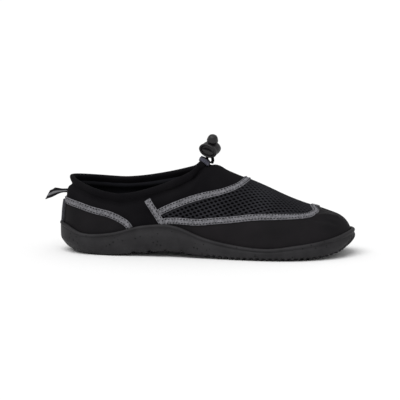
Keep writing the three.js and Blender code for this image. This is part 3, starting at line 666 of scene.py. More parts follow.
def upper_shell():
    """The hollow wall, from inside the sole's edge to under the band, sunk behind the mesh."""
    tucked, under_band, mesh_sunk = 5.0, 1.5, 0.9
    edge = up_at_height(ring_stops, sole_edge(ring_stops) - tucked)
    high = collar_up(ring_stops, collar_band - under_band)
    rows = 64
    up = edge[:, None] + (high - edge)[:, None] * np.linspace(0, 1, rows)
    along = share_along(last_point(ring_stops[:, None], up))
    in_mesh = inside_polygon(along, up, mesh_outline)
    outside = skin(ring_stops[:, None], up, np.where(in_mesh, -mesh_sunk, 0.0))
    inner_rows = 28
    up_in = high[:, None] * np.linspace(0, 1, inner_rows)
    inside = skin(ring_stops[:, None], up_in, -upper_wall)
    cols = len(ring_stops)
    faces_out = grid_faces(cols, rows, wrap_rows=True)
    faces_in = grid_faces(cols, inner_rows, wrap_rows=True, start=cols * rows)[:, ::-1]
    i = np.arange(cols)
    n = (i + 1) % cols
    start = cols * rows
    top = np.stack([i * rows + rows - 1, n * rows + rows - 1,
                    start + n * inner_rows + inner_rows - 1,
                    start + i * inner_rows + inner_rows - 1], -1)
    top = top[(high < 1 - 1e-6) | (high[n] < 1 - 1e-6)]
    bottom = np.stack([i * rows, start + i * inner_rows, start + n * inner_rows, n * rows], -1)
    centre_along = along.reshape(-1)[faces_out].mean(1)
    centre_up = up.reshape(-1)[faces_out].mean(1)
    kinds = np.zeros(len(faces_out), int)
    # Faces behind the mesh take the near-black backing: painted shade inside the holes
    for outline, kind in ((guard_outline, 1), (counter_outline, 1), (mesh_outline, 3)):
        kinds[inside_polygon(centre_along, centre_up, outline)] = kind
    faces = np.vstack([faces_out, faces_in, top, bottom])
    kinds = np.concatenate([kinds, np.full(len(faces_in), 2), np.full(len(top) + len(bottom), 0)])
    points = np.vstack([outside.reshape(-1, 3), inside.reshape(-1, 3)])
    return piece("upper_shell", points, faces, [neoprene, coated, lining, backing_and_hole_shade], kinds=kinds)


upper = upper_shell()


# The band's cross-section from its lower edge round: share of the band's height, and mm
# outwards; it rolls over the rim, turns under outside and lies flat inside
roll_section = [
    (0.0, -1.7), (0.06, -1.1), (0.18, -0.2), (0.32, 0.7), (0.48, 1.5), (0.64, 2.05),
    (0.78, 2.2), (0.88, 1.95), (0.95, 1.35), (0.99, 0.5), (1.0, -0.4), (0.985, -1.3),
    (0.94, -2.1), (0.86, -2.75), (0.74, -3.1), (0.55, -3.2), (0.35, -3.1), (0.18, -2.9),
    (0.06, -2.6), (0.0, -2.2)]


def collar():
    """The folded band round the opening, as a closed roll along the collar line."""
    steps = 150
    t = np.linspace(0, 1, steps)
    s = np.sin(t * math.pi / 2)
    rows_out = []
    for share, proud in roll_section:
        drop = collar_band * (1 - share) - 0.2
        front = throat_station(drop)
        ring = s * front
        outer_up = collar_up(ring, drop)
        outer_up[-1] = 1.0
        inner = ring_length - ring[::-1][1:-1]
        inner_up = collar_up(inner, drop)
        ring_all = np.concatenate([ring, inner])
        up_all = np.concatenate([outer_up, inner_up])
        base = last_point(ring_all, up_all)
        pucker = 0.16 * np.sin(base[:, 0] / 2.9 + base[:, 1] / 4.1) * (1 - share)
        pucker += 0.25 * np.sin(base[:, 0] / 13.0 + 1.0) * np.sin(base[:, 1] / 9.0)
        offset = proud + pucker
        rows_out.append(base + last_normal(ring_all, up_all) * offset[:, None])
    points = np.stack(rows_out, 1)
    faces = grid_faces(points.shape[0], points.shape[1], wrap_rows=True, wrap_cols=True)
    return piece("collar_roll", points, faces, [neoprene])


collar_roll = collar()

# Each tape's route and how far it stands off the upper; the slanted ones lie over the others
tape_width, tape_thick, side_tape_lift = 6.2, 0.9, 0.75
strip_width, strip_thick, strip_top = 13.0, 2.6, 0.25
heel_half = places_of(heel_tape_route)
tapes = {
    "heel_tape": ([(-ring, up) for ring, up in reversed(heel_half)] + heel_half, fit),
    "vamp_tape": (over_vamp(vamp_tape_route), fit),
    "toe_tape": (over_vamp(toe_tape_route), fit),
    "side_tape_outer": (places_of(side_tape_route), side_tape_lift),
    "side_tape_inner": (on_inner(side_tape_route), side_tape_lift),
}
tape_pieces = {name: ribbon(name + "_woven", route, tape_width, tape_thick, lift, gray_tape)
               for name, (route, lift) in tapes.items()}
strip_low = float(up_at_height(0.0, sole_edge(0.0) - 2))
strip_route = [(0.0, strip_low), (0.0, (strip_low + strip_top) / 2), (0.0, strip_top)]
heel_strip = ribbon("heel_strip_webbing", strip_route, strip_width, strip_thick, fit,
                    strip_webbing)


# Stitches
def repeat_tree(name, inputs):
    """An empty geometry tree with named inputs, given as names with their kinds."""
    tree = bpy.data.node_groups.new(name, "GeometryNodeTree")
    face = tree.interface
    face.new_socket("Geometry", in_out="INPUT", socket_type="NodeSocketGeometry")
    sockets = {key: face.new_socket(key, in_out="INPUT", socket_type="NodeSocket" + kind)
               for key, kind in inputs.items()}
    face.new_socket("Geometry", in_out="OUTPUT", socket_type="NodeSocketGeometry")
    return tree, sockets, tree.nodes.new("NodeGroupInput").outputs


def finish_tree(tree, geometry, cloth):
    painted = node(tree, "GeometryNodeSetMaterial", Geometry=geometry, Material=cloth)
    node(tree, "NodeGroupOutput", Geometry=painted.outputs["Geometry"])


def stitch_tree():
    """Lays one thread stitch on each point, along its course and flat on its face."""
    tree, sockets, given = repeat_tree("stitch_rows", {
        "Stitch length": "Float", "Thread thickness": "Float", "Thread": "Material"})
    ball = node(tree, "GeometryNodeMeshUVSphere", Segments=6, Rings=5, Radius=0.5)
    size = node(tree, "ShaderNodeCombineXYZ", i0=given["Stitch length"],
                i1=given["Thread thickness"], i2=given["Thread thickness"])
    shaped = node(tree, "GeometryNodeTransform", Geometry=ball.outputs["Mesh"],
                  Scale=size.outputs[0])
    course, face = (node(tree, "GeometryNodeInputNamedAttribute", {"data_type": "FLOAT_VECTOR"},
                         Name=name).outputs["Attribute"] for name in ("course", "face"))
    along = node(tree, "FunctionNodeAlignRotationToVector", {"axis": "X"}, Vector=course)
    flat = node(tree, "FunctionNodeAlignRotationToVector", {"axis": "Z", "pivot_axis": "X"},
                Rotation=along.outputs["Rotation"], Vector=face)
    lay = node(tree, "GeometryNodeInstanceOnPoints", Points=given["Geometry"],
               Instance=shaped.outputs["Geometry"], Rotation=flat.outputs["Rotation"])
    real = node(tree, "GeometryNodeRealizeInstances", Geometry=lay.outputs["Instances"])
    finish_tree(tree, real.outputs["Geometry"], given["Thread"])
    return tree, sockets


def baked(obj, name):
    """The evaluated object as a plain mesh of its own, with no modifier left."""
    depsgraph = bpy.context.evaluated_depsgraph_get()
    mesh = bpy.data.meshes.new_from_object(obj.evaluated_get(depsgraph))
    made = linked(name, mesh)
    bpy.data.objects.remove(obj)
    for polygon in mesh.polygons:
        polygon.use_smooth = True
    return made


def repeated(name, points, tree, sockets, values, directions=None):
    """What the tree lays on the points, given in metres, as one plain mesh."""
    mesh = bpy.data.meshes.new(name + "_points")
    mesh.from_pydata(points.tolist(), [], [])
    for key, vectors in (directions or {}).items():
        layer = mesh.attributes.new(key, "FLOAT_VECTOR", "POINT")
        layer.data.foreach_set("vector", vectors.astype(np.float32).ravel())
    obj = linked(name + "_points", mesh)
    modifier = obj.modifiers.new(name, "NODES")
    modifier.node_group = tree
    for key, value in values.items():
        modifier[sockets[key].identifier] = value
    return baked(obj, name)


def stitch_row(points, width, share, pitch, offset, shift=0.0):
    length = smooth_line(points, 400)[2][-1]
    count = max(3, int(length / pitch))
    ring, up, _ = smooth_line(points, count)
    d_ring, d_up = across_shift(ring, up, width)
    ring, up = ring + d_ring * share, up + d_up * share
    at = skin(ring, up, offset)
    course = unit(np.gradient(at, axis=0))
    at = at + course * shift
    return at[1:-1], course[1:-1], last_normal(ring, up)[1:-1]


def sew_tapes():
    """Two rows of stitches on each tape, one shifted by half a pitch and sunk a little."""
    pitch, sunk, row_share, stitch, thick = 2.9, 0.02, 0.62, 2.1, 1.0
    rows = [stitch_row(route, tape_width, share, pitch, lift + tape_thick - sunk, shift)
            for route, lift in tapes.values()
            for share, shift in ((-row_share, 0.0), (row_share, 1.4))]
    at, course, face = (np.vstack(column) for column in zip(*rows))
    return repeated("tape_stitches", (at - middle) / 1000, *stitch_tree(), {
        "Stitch length": stitch / 1000, "Thread thickness": thick / 1000, "Thread": thread},
        {"course": course, "face": face})


tape_stitches = sew_tapes()


# Mesh panel with real holes
def flat_vamp():
    """Table of the vamp laid flat: at each x, how far a place lies below the ridge in mm."""
    xs = np.linspace(last_inset + 0.34 * last_length, last_inset + 0.90 * last_length, 150)
    ups = np.linspace(0.10, 1.0, 90)
    stops = np.linspace(3.0, 12.9, 500)
    rings = np.empty((2, len(xs), len(ups)))
    down = np.empty_like(rings)
    for side in (0, 1):
        for j, up in enumerate(ups):
            place_x = last_point(stops if side == 0 else ring_length - stops, up)[:, 0]
            rings[side, :, j] = np.interp(xs, place_x, stops)
        on_side = rings[side] if side == 0 else ring_length - rings[side]
        at = last_point(on_side, np.repeat(ups[None, :], len(xs), 0))
        step = np.linalg.norm(np.diff(at, axis=1), axis=-1)
        from_top = np.cumsum(step[:, ::-1], axis=1)[:, ::-1]
        down[side] = np.concatenate([from_top, np.zeros((len(xs), 1))], 1)
    return xs, ups, rings, down


flat_xs, flat_ups, flat_rings, flat_down = flat_vamp()


def from_flat(x, v):
    """Ring and up of a flat place: v below nought is the outer side, above it the inner."""
    column = np.interp(x, flat_xs, np.arange(len(flat_xs)))
    low = np.clip(np.floor(column).astype(int), 0, len(flat_xs) - 2)
    part = column - low
    ring, up = np.empty(x.shape), np.empty(x.shape)
    for i in range(x.size):
        side = 0 if v[i] < 0 else 1
        values = []
        for k in (low[i], low[i] + 1):
            u = np.interp(abs(v[i]), flat_down[side, k, ::-1], flat_ups[::-1])
            values.append((np.interp(u, flat_ups, flat_rings[side, k]), u))
        ring[i] = values[0][0] * (1 - part[i]) + values[1][0] * part[i]
        up[i] = values[0][1] * (1 - part[i]) + values[1][1] * part[i]
        if side == 1:
            ring[i] = ring_length - ring[i]
    return ring, up


# The knit leans: its two rows of holes cross at a slant. Each row's step in mm and its direction.
row_steps = [(4.4, math.radians(32)), (3.35, math.radians(137.5))]
lattice = np.array([[step * math.cos(turn), step * math.sin(turn)] for step, turn in row_steps])
hole_share = 0.33  # half of a hole's width against the step


def mesh_cell():
    """One cell of the mesh round its hole: strands crowned, sloping down into the hole."""
    border = [(0.5, 0), (0.5, 0.5), (0, 0.5), (-0.5, 0.5), (-0.5, 0), (-0.5, -0.5),
              (0, -0.5), (0.5, -0.5)]
    rings = []
    for share, rise in ((0.0, 0.45), (0.5, 0.38), (0.85, 0.12), (1.0, -0.35)):
        for u, v in border:
            angle = math.atan2(v, u)
            radius = hole_share * (1 + 0.10 * abs(math.sin(2 * angle)))
            inner = (radius * math.cos(angle), radius * math.sin(angle))
            flat = np.array([u + (inner[0] - u) * share, v + (inner[1] - v) * share]) @ lattice
            rings.append((flat[0] / 1000, flat[1] / 1000, rise / 1000))
    mesh = bpy.data.meshes.new("mesh_cell")
    faces = grid_faces(4, len(border), wrap_cols=True)
    mesh.from_pydata(rings, [], faces.tolist())
    mesh.materials.append(strands)
    return linked("mesh_cell", mesh)


def lattice_tree(cell):
    """Repeats the cell over the flat lattice and joins its strands."""
    tree, sockets, given = repeat_tree("knitted_holes", {
        "Join distance": "Float", "Cloth": "Material"})
    info = node(tree, "GeometryNodeObjectInfo", Object=cell)
    lay = node(tree, "GeometryNodeInstanceOnPoints", Points=given["Geometry"],
               Instance=info.outputs["Geometry"])
    real = node(tree, "GeometryNodeRealizeInstances", Geometry=lay.outputs["Instances"])
    merge = node(tree, "GeometryNodeMergeByDistance", Geometry=real.outputs["Geometry"],
                 Distance=given["Join distance"])
    finish_tree(tree, merge.outputs["Geometry"], given["Cloth"])
    return tree, sockets


def mesh_panel():
    cell = mesh_cell()
    count = 60
    a, b = np.meshgrid(np.arange(-count, count), np.arange(-count, count))
    flat = np.stack([a.ravel(), b.ravel()], -1) @ lattice
    x, v = last_inset + 0.6 * last_length + flat[:, 0], flat[:, 1]
    near = (x > flat_xs[0] + 3) & (x < flat_xs[-1] - 3) & (np.abs(v) < 75)
    x, v = x[near], v[near]
    ring, up = from_flat(x, v)
    at = last_point(ring, up)
    keep = inside_polygon(share_along(at), up, mesh_outline) & (up > 0.11)
    points = stack(x[keep], v[keep], 0.0) / 1000
    made = repeated("mesh_panel", points, *lattice_tree(cell),
                    {"Join distance": 0.00005, "Cloth": strands})
    bpy.data.objects.remove(cell)
    mesh = made.data
    co = np.empty(len(mesh.vertices) * 3)
    mesh.vertices.foreach_get("co", co)
    co = co.reshape(-1, 3) * 1000
    ring, up = from_flat(co[:, 0], co[:, 1])
    lifted = (skin(ring, up, co[:, 2]) - middle) / 1000
    mesh.vertices.foreach_set("co", lifted.ravel())
    bm = bmesh.new()
    bm.from_mesh(mesh)
    bmesh.ops.recalc_face_normals(bm, faces=bm.faces)
    up_share = sum(f.normal.z * f.calc_area() for f in bm.faces)
    if up_share < 0:
        bmesh.ops.reverse_faces(bm, faces=bm.faces)
    bm.to_mesh(mesh)
    bm.free()
    mesh.update()
    return made


panel = mesh_panel()


# Sole
lug_pitch, lug_gap, lug_depth, lug_reach = 6.0, 2.8, 3.2, 16.0
tooth_height, toe_tooth_height = 3.6, 12.6
tread_pitch, tread_bend, tread_depth = 9.0, 5.0, 1.3
step_pitch, step_gap, step_depth = 16.0, 3.0, 1.8
bead_proud = 1.3
lug_start, step_start, step_end = 6.1, 3.75, 5.6

fine = np.linspace(0, ring_length, 5201)
fine_length = run_length(feather(fine))


def arc(ring):
    return np.interp(ring % ring_length, fine, fine_length)


def ring_of(length):
    return np.interp(length, fine_length, fine)


def soft_step(x, low, high):
    t = np.clip((x - low) / (high - low), 0, 1)
    return t * t * (3 - 2 * t)


def groove_depth(ring):
    """Depth in mm of the cut between lugs, or between the steps under the arch."""
    mirrored = np.where(ring <= toe, ring, ring_length - ring)
    phase = ((arc(ring) - arc(lug_start)) / lug_pitch + 0.5) % 1 - 0.5
    lug = 1 - soft_step(np.abs(phase) * lug_pitch, lug_gap * 0.22, lug_gap * 0.95)
    lug = lug * soft_step(mirrored, lug_start - 0.12, lug_start + 0.05) * lug_depth
    step_at = ((arc(mirrored) - arc(step_start)) / step_pitch + 0.5) % 1 - 0.5
    step = 1 - soft_step(np.abs(step_at) * step_pitch, step_gap * 0.25, step_gap * 0.8)
    among = (mirrored > step_start - 0.2) & (mirrored < step_end + 0.1)
    return np.maximum(lug, step * among * step_depth)


def sole_half():
    """Stations of the outer side: close together where lugs and steps are cut."""
    coarse, close, cut_start = 1.8, 0.72, arc(step_start) - 6
    near = np.arange(0, cut_start, coarse)
    rest = np.arange(cut_start, fine_length[len(fine) // 2], close)
    return np.unique(np.round(np.concatenate([ring_of(near), ring_of(rest), [float(toe)]]), 6))


# The bead on top of the wall: share of the wall's thickness outwards, and mm below its edge
bead_section = [(0.22, 0.25), (0.42, 0.0), (0.6, 0.0), (0.78, 0.2), (0.92, 0.7),
                (1.0, 1.3), (1.0, 1.8), (0.93, 2.4), (0.79, 2.9), (0.72, 3.4)]
bead_height, wall_rows = 3.6, 20
# The wall leans in towards the floor: share of its height, and share of the tuck
wall_rise, wall_tuck = [0.0, 0.16, 0.42, 1.0], [1.0, 0.5, 0.10, 0.0]
under_cut = 0.9  # the lugs' depth under the sole against their depth at its edge


def sole_wall(stops, edge, lift, foot, groove):
    """Rows of points from inside the cup over the bead, down the wall and under its edge."""
    tuck = edge_tuck * blend("tuck", stops)
    along = feather(stops + 0.02) - feather(stops - 0.02)
    out = unit(stack(along[:, 1], -along[:, 0], np.zeros(len(stops))))
    mirrored = np.minimum(stops, ring_length - stops)
    tooth = tooth_height + (toe_tooth_height - tooth_height) * soft_step(
        mirrored, toe - 2.4, toe - 0.8)

    def on_wall(height, offset):
        up = up_at_height(stops, height)
        out_by = np.broadcast_to(offset, stops.shape)[:, None]
        point = last_point(stops, up) + last_normal(stops, up) * out_by
        point[:, 2] = height
        return point

    rows_out = [on_wall((edge + foot[:, 2]) / 2, fit), on_wall(edge - 1.0, fit)]
    rows_out += [on_wall(edge - down, last_inset * share) for share, down in bead_section]
    top_share = 1 - bead_height / np.maximum(edge - lift, 8)
    for k in range(wall_rows):
        rise = top_share * (1 - (k + 0.5) / (wall_rows + 0.5))
        share = np.interp(rise, wall_rise, wall_tuck)
        share = 0.5 * share + 0.25 * (np.interp(rise + 0.05, wall_rise, wall_tuck)
                                      + np.interp(rise - 0.05, wall_rise, wall_tuck))
        belly = (0.3 + 0.6 * soft_step(mirrored, 1.0, 3.5)) * soft_step(rise, 0.55, 0.85)
        height = lift + rise * (edge - lift)
        cut = groove * (1 - soft_step(height - lift, 0.3 * tooth, tooth))
        offset = last_inset - share * tuck - belly * bead_proud - cut
        mix = soft_step(rise, 0.35, 0.75)[:, None]
        point = (foot + out * offset[:, None]) * (1 - mix) + on_wall(height, offset) * mix
        point[:, 2] = height
        rows_out.append(point)
    for reach, rise in ((0.35, 0.75), (0.9, 0.25), (1.7, 0.0)):
        point = foot + out * (last_inset - tuck - groove - reach)[:, None]
        point[:, 2] = lift + rise + groove * under_cut
        rows_out.append(point)
    return np.stack(rows_out, 1), out


def underside(edge_out, edge_in, lift, groove_out, groove_in):
    """The tread, drawn across from each outer column to the inner one at its station."""
    width = np.linalg.norm(edge_in - edge_out, axis=1)
    near = [np.minimum(reach / np.maximum(width, 1e-6), 0.42)
            for reach in (0.0, 1.5, 3.0, 5.0, 7.0, 9.0, 11.0, 13.0, 15.0, 17.0)]
    between = [near[-1] + share * (1 - 2 * near[-1]) for share in np.linspace(0, 1, 12)[1:-1]]
    rows_under = []
    for share in near + between + [1 - share for share in reversed(near)]:
        point = edge_out + (edge_in - edge_out) * share[:, None]
        from_edge = np.minimum(share * width, (1 - share) * width)
        cut = np.where(share * width < (1 - share) * width, groove_out, groove_in)
        cut = cut * under_cut * (1 - soft_step(from_edge, lug_reach - 4, lug_reach))
        point[:, 2] = lift + cut
        inside = soft_step(from_edge, lug_reach, lug_reach + 3)
        bend = tread_bend * np.abs(np.sin(point[:, 1] / tread_pitch))
        wave = np.abs(((point[:, 0] + bend) / tread_pitch) % 1 - 0.5)
        point[:, 2] += inside * tread_depth * (1 - soft_step(wave, 0.10, 0.2))
        rows_under.append(point)
    return np.stack(rows_under, 1)


def outsole():
    """The cup sole in one skin: its wall, its underside and the floor inside the cup."""
    side = sole_half()
    stops = both_sides(side)
    edge, lift, foot = sole_edge(stops), sole_lift(stops), feather(stops)
    groove = groove_depth(stops)
    points, out = sole_wall(stops, edge, lift, foot, groove)
    cols, rows, _ = points.shape
    half = len(side)
    mirror = (cols - np.arange(half)) % cols
    under = underside(points[:half, -1], points[mirror, -1], lift[:half], groove[:half],
                      groove[mirror])
    level = foot - np.array([0.0, 0.0, fit]) + out * fit
    floor = bridge(level[:half], level[mirror], 5)
    start = cols * rows
    floor_start = start + under.shape[0] * under.shape[1]
    # the cup's wall down to its floor
    i = np.arange(cols)
    n = (i + 1) % cols
    station = np.where(i < half, i, cols - i)
    floor_id = floor_start + station * 5 + np.where(i < half, 0, 4)
    faces = [grid_faces(cols, rows, wrap_rows=True), grid_faces(half, under.shape[1], start=start),
             grid_faces(half, 5, start=floor_start)[:, ::-1],
             np.stack([floor_id, floor_id[n], n * rows, i * rows], -1)]
    every = np.vstack([points.reshape(-1, 3), under.reshape(-1, 3), floor.reshape(-1, 3)])
    return piece("outsole_moulded", every, np.vstack(faces), [rubber], merge=0.02)


sole = outsole()


def insole():
    """Foam sheet with a rolled edge, a little dished along its middle."""
    side = np.linspace(0, toe, 120)
    stops = both_sides(side)
    cols = len(stops)
    floor = feather(stops)[:, 2]
    inset = upper_wall + fit
    edge_rows = []
    for height, extra in ((0.0, 0.5), (0.8, 0.0), (2.0, 0.0), (2.8, 0.5), (3.0, 1.5)):
        up = up_at_height(stops, floor + height)
        point = last_point(stops, up) - last_normal(stops, up) * (inset + extra)
        point[:, 2] = floor + height
        edge_rows.append(point)
    points = np.stack(edge_rows, 1)
    half = len(side)
    mirror = (cols - np.arange(half)) % cols
    top = bridge(points[:half, -1], points[mirror, -1], 26)
    top[..., 2] -= 0.5 * np.sin(math.pi * np.linspace(0, 1, 26))[None, :]
    low = bridge(points[:half, 0], points[mirror, 0], 4)
    rows = points.shape[1]
    start_top = cols * rows
    start_low = start_top + top.shape[0] * top.shape[1]
    faces = np.vstack([grid_faces(cols, rows, wrap_rows=True),
                       grid_faces(half, 26, start=start_top),
                       grid_faces(half, 4, start=start_low)])
    every = np.vstack([points.reshape(-1, 3), top.reshape(-1, 3), low.reshape(-1, 3)])
    return piece("insole_foam_sheet", every, faces, [insole_cloth])


footbed = insole()


# Pull loop
def pull_loop():
    """Webbing folded back on itself, its ends caught in the heel seam."""
    height, width, thick, proud = 58.0, 9.0, 1.3, 14.0
    root = last_point(0.0, float(up_at_height(0.0, height)))[0]
    reach = root + proud
    fold = [(0.0, -0.7), (-0.35, -0.9), (-0.7, -1.5), (-0.93, -1.4), (-1.0, 0.0)]
    fold += [(share, -side) for share, side in reversed(fold[:-1])]
    path = [(share * reach, side) for share, side in fold]
    line, course, length = smooth_path(path, 60)
    side = np.stack([course[:, 1], -course[:, 0]], -1)
    section = [(-0.5, -0.35), (-0.5, 0.35), (-0.46, 0.5), (-0.16, 0.5), (0.16, 0.5), (0.46, 0.5)]
    section += [(-across, -out) for across, out in section]
    points, uvs = [], []
    for up_share, out_share in section:
        at = line + side * (out_share * thick)
        share = np.clip(-line[:, 0] / reach, 0, 1)
        spread = 0.4 + 0.6 * soft_step(share, 0.2, 0.75)
        curl = 0.9 * np.sin(share * math.pi) * up_share
        curl -= (1 - spread) * 2.0 * (1 - 4 * up_share ** 2)
        z = height + up_share * width * spread - 4.5 * share ** 2
        # the ends follow the heel's slope
        lean = np.interp(z, [48, 58, 66], [-1.6, 0.0, 2.6]) * (1 - share)
        slant = 5.0 * (up_share + 0.5) * soft_step(share, 0.5, 1.0)
        points.append(stack(at[:, 0] + root + lean + slant, at[:, 1] + curl, z))
        uvs.append(stack(length / 1000, np.full(len(length), up_share + 0.5)))
    points, uvs = np.stack(points, 1), np.stack(uvs, 1)
    faces = tube_faces(len(line), len(section))
    return piece("pull_loop_webbing", points, faces, [webbing], uv=uvs)


loop = pull_loop()


# Cord lock
lock_radius, lock_oval, lock_length, lock_rim, lock_recess = 9.6, 0.72, 14.0, 2.2, 3.4
lock_ahead, lock_aside, lock_rise = 8.9, 2.0, 10.0
lock_yaw, lock_pitch, lock_roll = 0.42, 0.28, 0.3
cord_thick, strand_place, strand_seat, strand_spread, cap_gap = 3.0, 0.2, 0.85, 0.33, 0.3
throats = [throat_station(0.0), throat_station(collar_band)]
lock_centre = ridge(throats[0]) + np.array([lock_ahead, -lock_aside, lock_rise])
lock_turn = np.array(Matrix.Rotation(-lock_yaw, 3, "Z") @ Matrix.Rotation(lock_pitch, 3, "X")
                     @ Matrix.Rotation(lock_roll, 3, "Y"))
half_lock = lock_length / 2
recess_radius = lock_radius - lock_rim


def turned(name, profile, segments, centre, oval=1.0, turn=lock_turn):
    """A moulded piece of revolution round its own Y axis, from pairs of radius and height."""
    radius, height = np.array(profile, float).T
    angle = np.linspace(0, 2 * math.pi, segments, endpoint=False)[:, None]
    points = stack(radius * np.cos(angle), height + 0 * angle, radius * np.sin(angle) * oval)
    faces = grid_faces(segments, len(profile), wrap_rows=True)
    return piece(name, points @ turn.T + centre, faces, [plastic])


# Shares of the lock's radius and half length, from the cord's end to the button's
barrel_profile = [(0, 1), (0.62, 1), (0.76, 0.96), (0.85, 0.86), (0.9, 0.66), (0.94, 0.3),
                  (0.95, 0), (0.92, -0.3), (0.9, -0.5), (0.95, -0.6), (0.99, -0.7), (1, -0.82),
                  (0.985, -0.93), (0.94, -1), (0.84, -1.02)]
recess_profile = [(recess_radius + 0.2, -half_lock), (recess_radius, -0.95 * half_lock),
                  (recess_radius, -half_lock + lock_recess), (0, -half_lock + lock_recess)]
lock_body = turned("lock_barrel", [(r * lock_radius, h * half_lock) for r, h in barrel_profile]
                   + recess_profile, 56, lock_centre, lock_oval)

button_front = -half_lock + lock_recess / 4
button_radius = recess_radius - fit
lock_button = turned("lock_button_moulded", [
    (0, -half_lock + lock_recess - fit), (button_radius, -half_lock + lock_recess - fit),
    (button_radius, button_front + 0.6), (button_radius - 0.3, button_front + 0.15),
    (button_radius - 0.9, button_front), (0, button_front)],
    40, lock_centre, lock_oval)


def cut_slot(obj, span, high, deep):
    """Sinks the thumb groove across the button's face."""
    corners = []
    for x in np.linspace(-span, span, 9):
        for y, z in ((-deep, -high), (deep, -high * 0.55), (deep, high * 0.55), (-deep, high)):
            bow = 0.5 * math.cos(x / span * math.pi / 2)
            corners.append((x, button_front + y, z + bow - 0.4))
    placed = np.array(corners) @ lock_turn.T + lock_centre
    faces = grid_faces(9, 4, wrap_cols=True).tolist() + [[3, 2, 1, 0], [32, 33, 34, 35]]
    cutter = piece("slot_cutter", placed, faces, [plastic], smooth=False)
    modifier = obj.modifiers.new("slot", "BOOLEAN")
    modifier.object = cutter
    modifier.operation = "DIFFERENCE"
    modifier.solver = "EXACT"
    name = obj.name
    obj.name = name + "_plain"
    made = baked(obj, name)
    bpy.data.objects.remove(cutter)
    return made


lock_button = cut_slot(lock_button, button_radius * 0.86, 0.9, 0.75)


def strand_at(side, rise):
    across, back, up = lock_turn.T
    return (lock_centre + back * strand_place * half_lock + up * rise
            + across * side * (cord_thick / 2 + fit))


cap_foot = lock_oval * lock_radius + cap_gap


def cord_strand(name, side):
    """One strand of the drawcord, from the collar's front through the lock into the cap."""
    seat = throats[0] + (throats[1] - throats[0]) * (strand_seat + strand_spread * side)
    foot = last_point(seat, 1.0) + last_normal(seat, 1.0) * (collar_proud + 3 * fit)
    under = last_point(seat, 1.0) - last_normal(seat, 1.0) * 2 * fit
    control = np.array([under, foot, strand_at(side, -lock_oval * lock_radius),
                        strand_at(side, 0), strand_at(side, cap_foot + 1.0)])
    line, course, length = smooth_path(control, 48)
    first = unit(np.cross(course, np.array([1.0, 0.2, 0.0])))
    second = np.cross(course, first)
    turns, radius = 14, cord_thick / 2
    angle = np.linspace(0, 2 * math.pi, turns, endpoint=False)
    points = (line[:, None] + first[:, None] * (radius * np.cos(angle))[None, :, None]
              + second[:, None] * (radius * np.sin(angle))[None, :, None])
    uvs = stack(length[:, None], (angle * radius)[None, :]) / 1000
    return piece(name, points, tube_faces(len(line), turns), [cord_cloth], uv=uvs)


cord_outer = cord_strand("drawcord_strand_outer", -1)
cord_inner = cord_strand("drawcord_strand_inner", 1)

cap_length, cap_radius = 7.0, 5.6
up_axis = lock_turn[:, 2]
cap_turn = np.array(Vector((0, 1, 0)).rotation_difference(Vector(up_axis)).to_matrix())
cap_profile = [(0, 0), (0.84, 0), (0.95, 0.04), (1, 0.14), (0.97, 0.3), (0.92, 0.45),
               (0.82, 0.68), (0.68, 0.86), (0.5, 0.96), (0.25, 1), (0, 1)]
cord_cap = turned("cord_cap_moulded", [(r * cap_radius, h * cap_length) for r, h in cap_profile],
                  32, strand_at(0, cap_foot), turn=cap_turn)


guide_length, guide_back, guide_apart, guide_width, guide_thick = 10.0, 2.0, 6.0, 5.6, 1.0


def guide(name, side):
    """A short tape beside the drawcord, across the front of the collar."""
    up = float(bisect(0.5, 1.0,
                      lambda u: np.abs(last_point(throats[0], u)[..., 1]) < guide_apart))
    rear = throat_along - guide_back - last_inset
    first, last = (ring_at(x / last_length, up) for x in (rear, rear + guide_length))
    route = [(ring if side < 0 else ring_length - ring, up)
             for ring in (first, (first + last) / 2, last)]
    return ribbon(name, route, guide_width, guide_thick, collar_proud + 0.25, guide_tape,
                  step_mm=1.0)


guides = [guide("cord_guide_outer_tape", -1), guide("cord_guide_inner_tape", 1)]


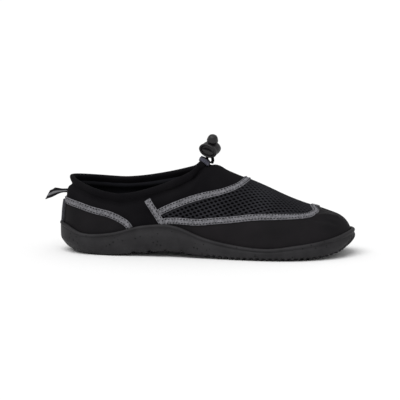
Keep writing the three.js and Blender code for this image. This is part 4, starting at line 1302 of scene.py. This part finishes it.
# Which piece stands for which
stands_for = [
    (upper, "neoprene", "upper"), (collar_roll, "neoprene", "collar_band"),
    (sole, "sole_rubber", "outsole"), (footbed, "insole_foam", "insole"),
    (heel_strip, "webbing", "heel_strip"), (loop, "webbing", "pull_loop"),
    (lock_body, "lock_plastic", "lock_body"), (lock_button, "lock_plastic", "lock_button"),
    (cord_outer, "elastic_cord", "drawcord_outer"), (cord_inner, "elastic_cord", "drawcord_inner"),
    (cord_cap, "lock_plastic", "cord_end"),
    (guides[0], "gray_tape", "cord_guide_outer"), (guides[1], "gray_tape", "cord_guide_inner"),
    (tape_stitches, "gray_tape", None), (panel, "neoprene", None),
]
stands_for += [(tape_pieces[name], "gray_tape", name) for name in tapes]
for obj, slot_name, cad_node in stands_for:
    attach(obj, "root")
    if cad_node:
        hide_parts(cad_node)


# Floor, light and camera
pale = (0.93, 0.93, 0.93, 1.0)
floor_material, _ = surface("pale_floor", Base_Color=pale, Roughness=0.9)
floor_mesh = bpy.data.meshes.new("pale_floor")
floor_mesh.from_pydata([(-20, -20, 0), (20, -20, 0), (20, 20, 0), (-20, 20, 0)], [], [(0, 1, 2, 3)])
floor_mesh.materials.append(floor_material)
ground = linked("pale_floor", floor_mesh)
ground.location = (0, 0, -0.0004)

scene = bpy.context.scene
scene.view_settings.view_transform = "Standard"
world = bpy.data.worlds.new("studio")
scene.world = world
world.use_nodes = True
background = world.node_tree.nodes["Background"]
background.inputs["Color"].default_value = (1, 1, 1, 1)
background.inputs["Strength"].default_value = 0.6

# A wide, even light from above and a little in front, like a tall softbox over the floor
sun = bpy.data.lights.new("overhead_light", "SUN")
sun.energy = 1.9
sun.angle = math.radians(50)
lamp = linked("overhead_light", sun)
lamp.rotation_euler = Vector((0.25, 0.45, -1.0)).to_track_quat("-Z", "Y").to_euler()

camera_data = bpy.data.cameras.new("camera")
camera = linked("camera", camera_data)
scene.camera = camera
yaw, rise, reach = math.radians(6), math.radians(8), 1.7
view = Vector((-math.sin(yaw) * math.cos(rise), math.cos(yaw) * math.cos(rise), -math.sin(rise)))
camera.location = Vector((0, 0, 0.05)) - view * reach
camera.rotation_euler = view.to_track_quat("-Z", "Y").to_euler()
camera_data.sensor_width = 36
camera_data.lens = 157.1
camera_data.shift_x = 0.0025
camera_data.shift_y = 0.00125
camera_data.clip_start = 0.05
camera_data.clip_end = 50
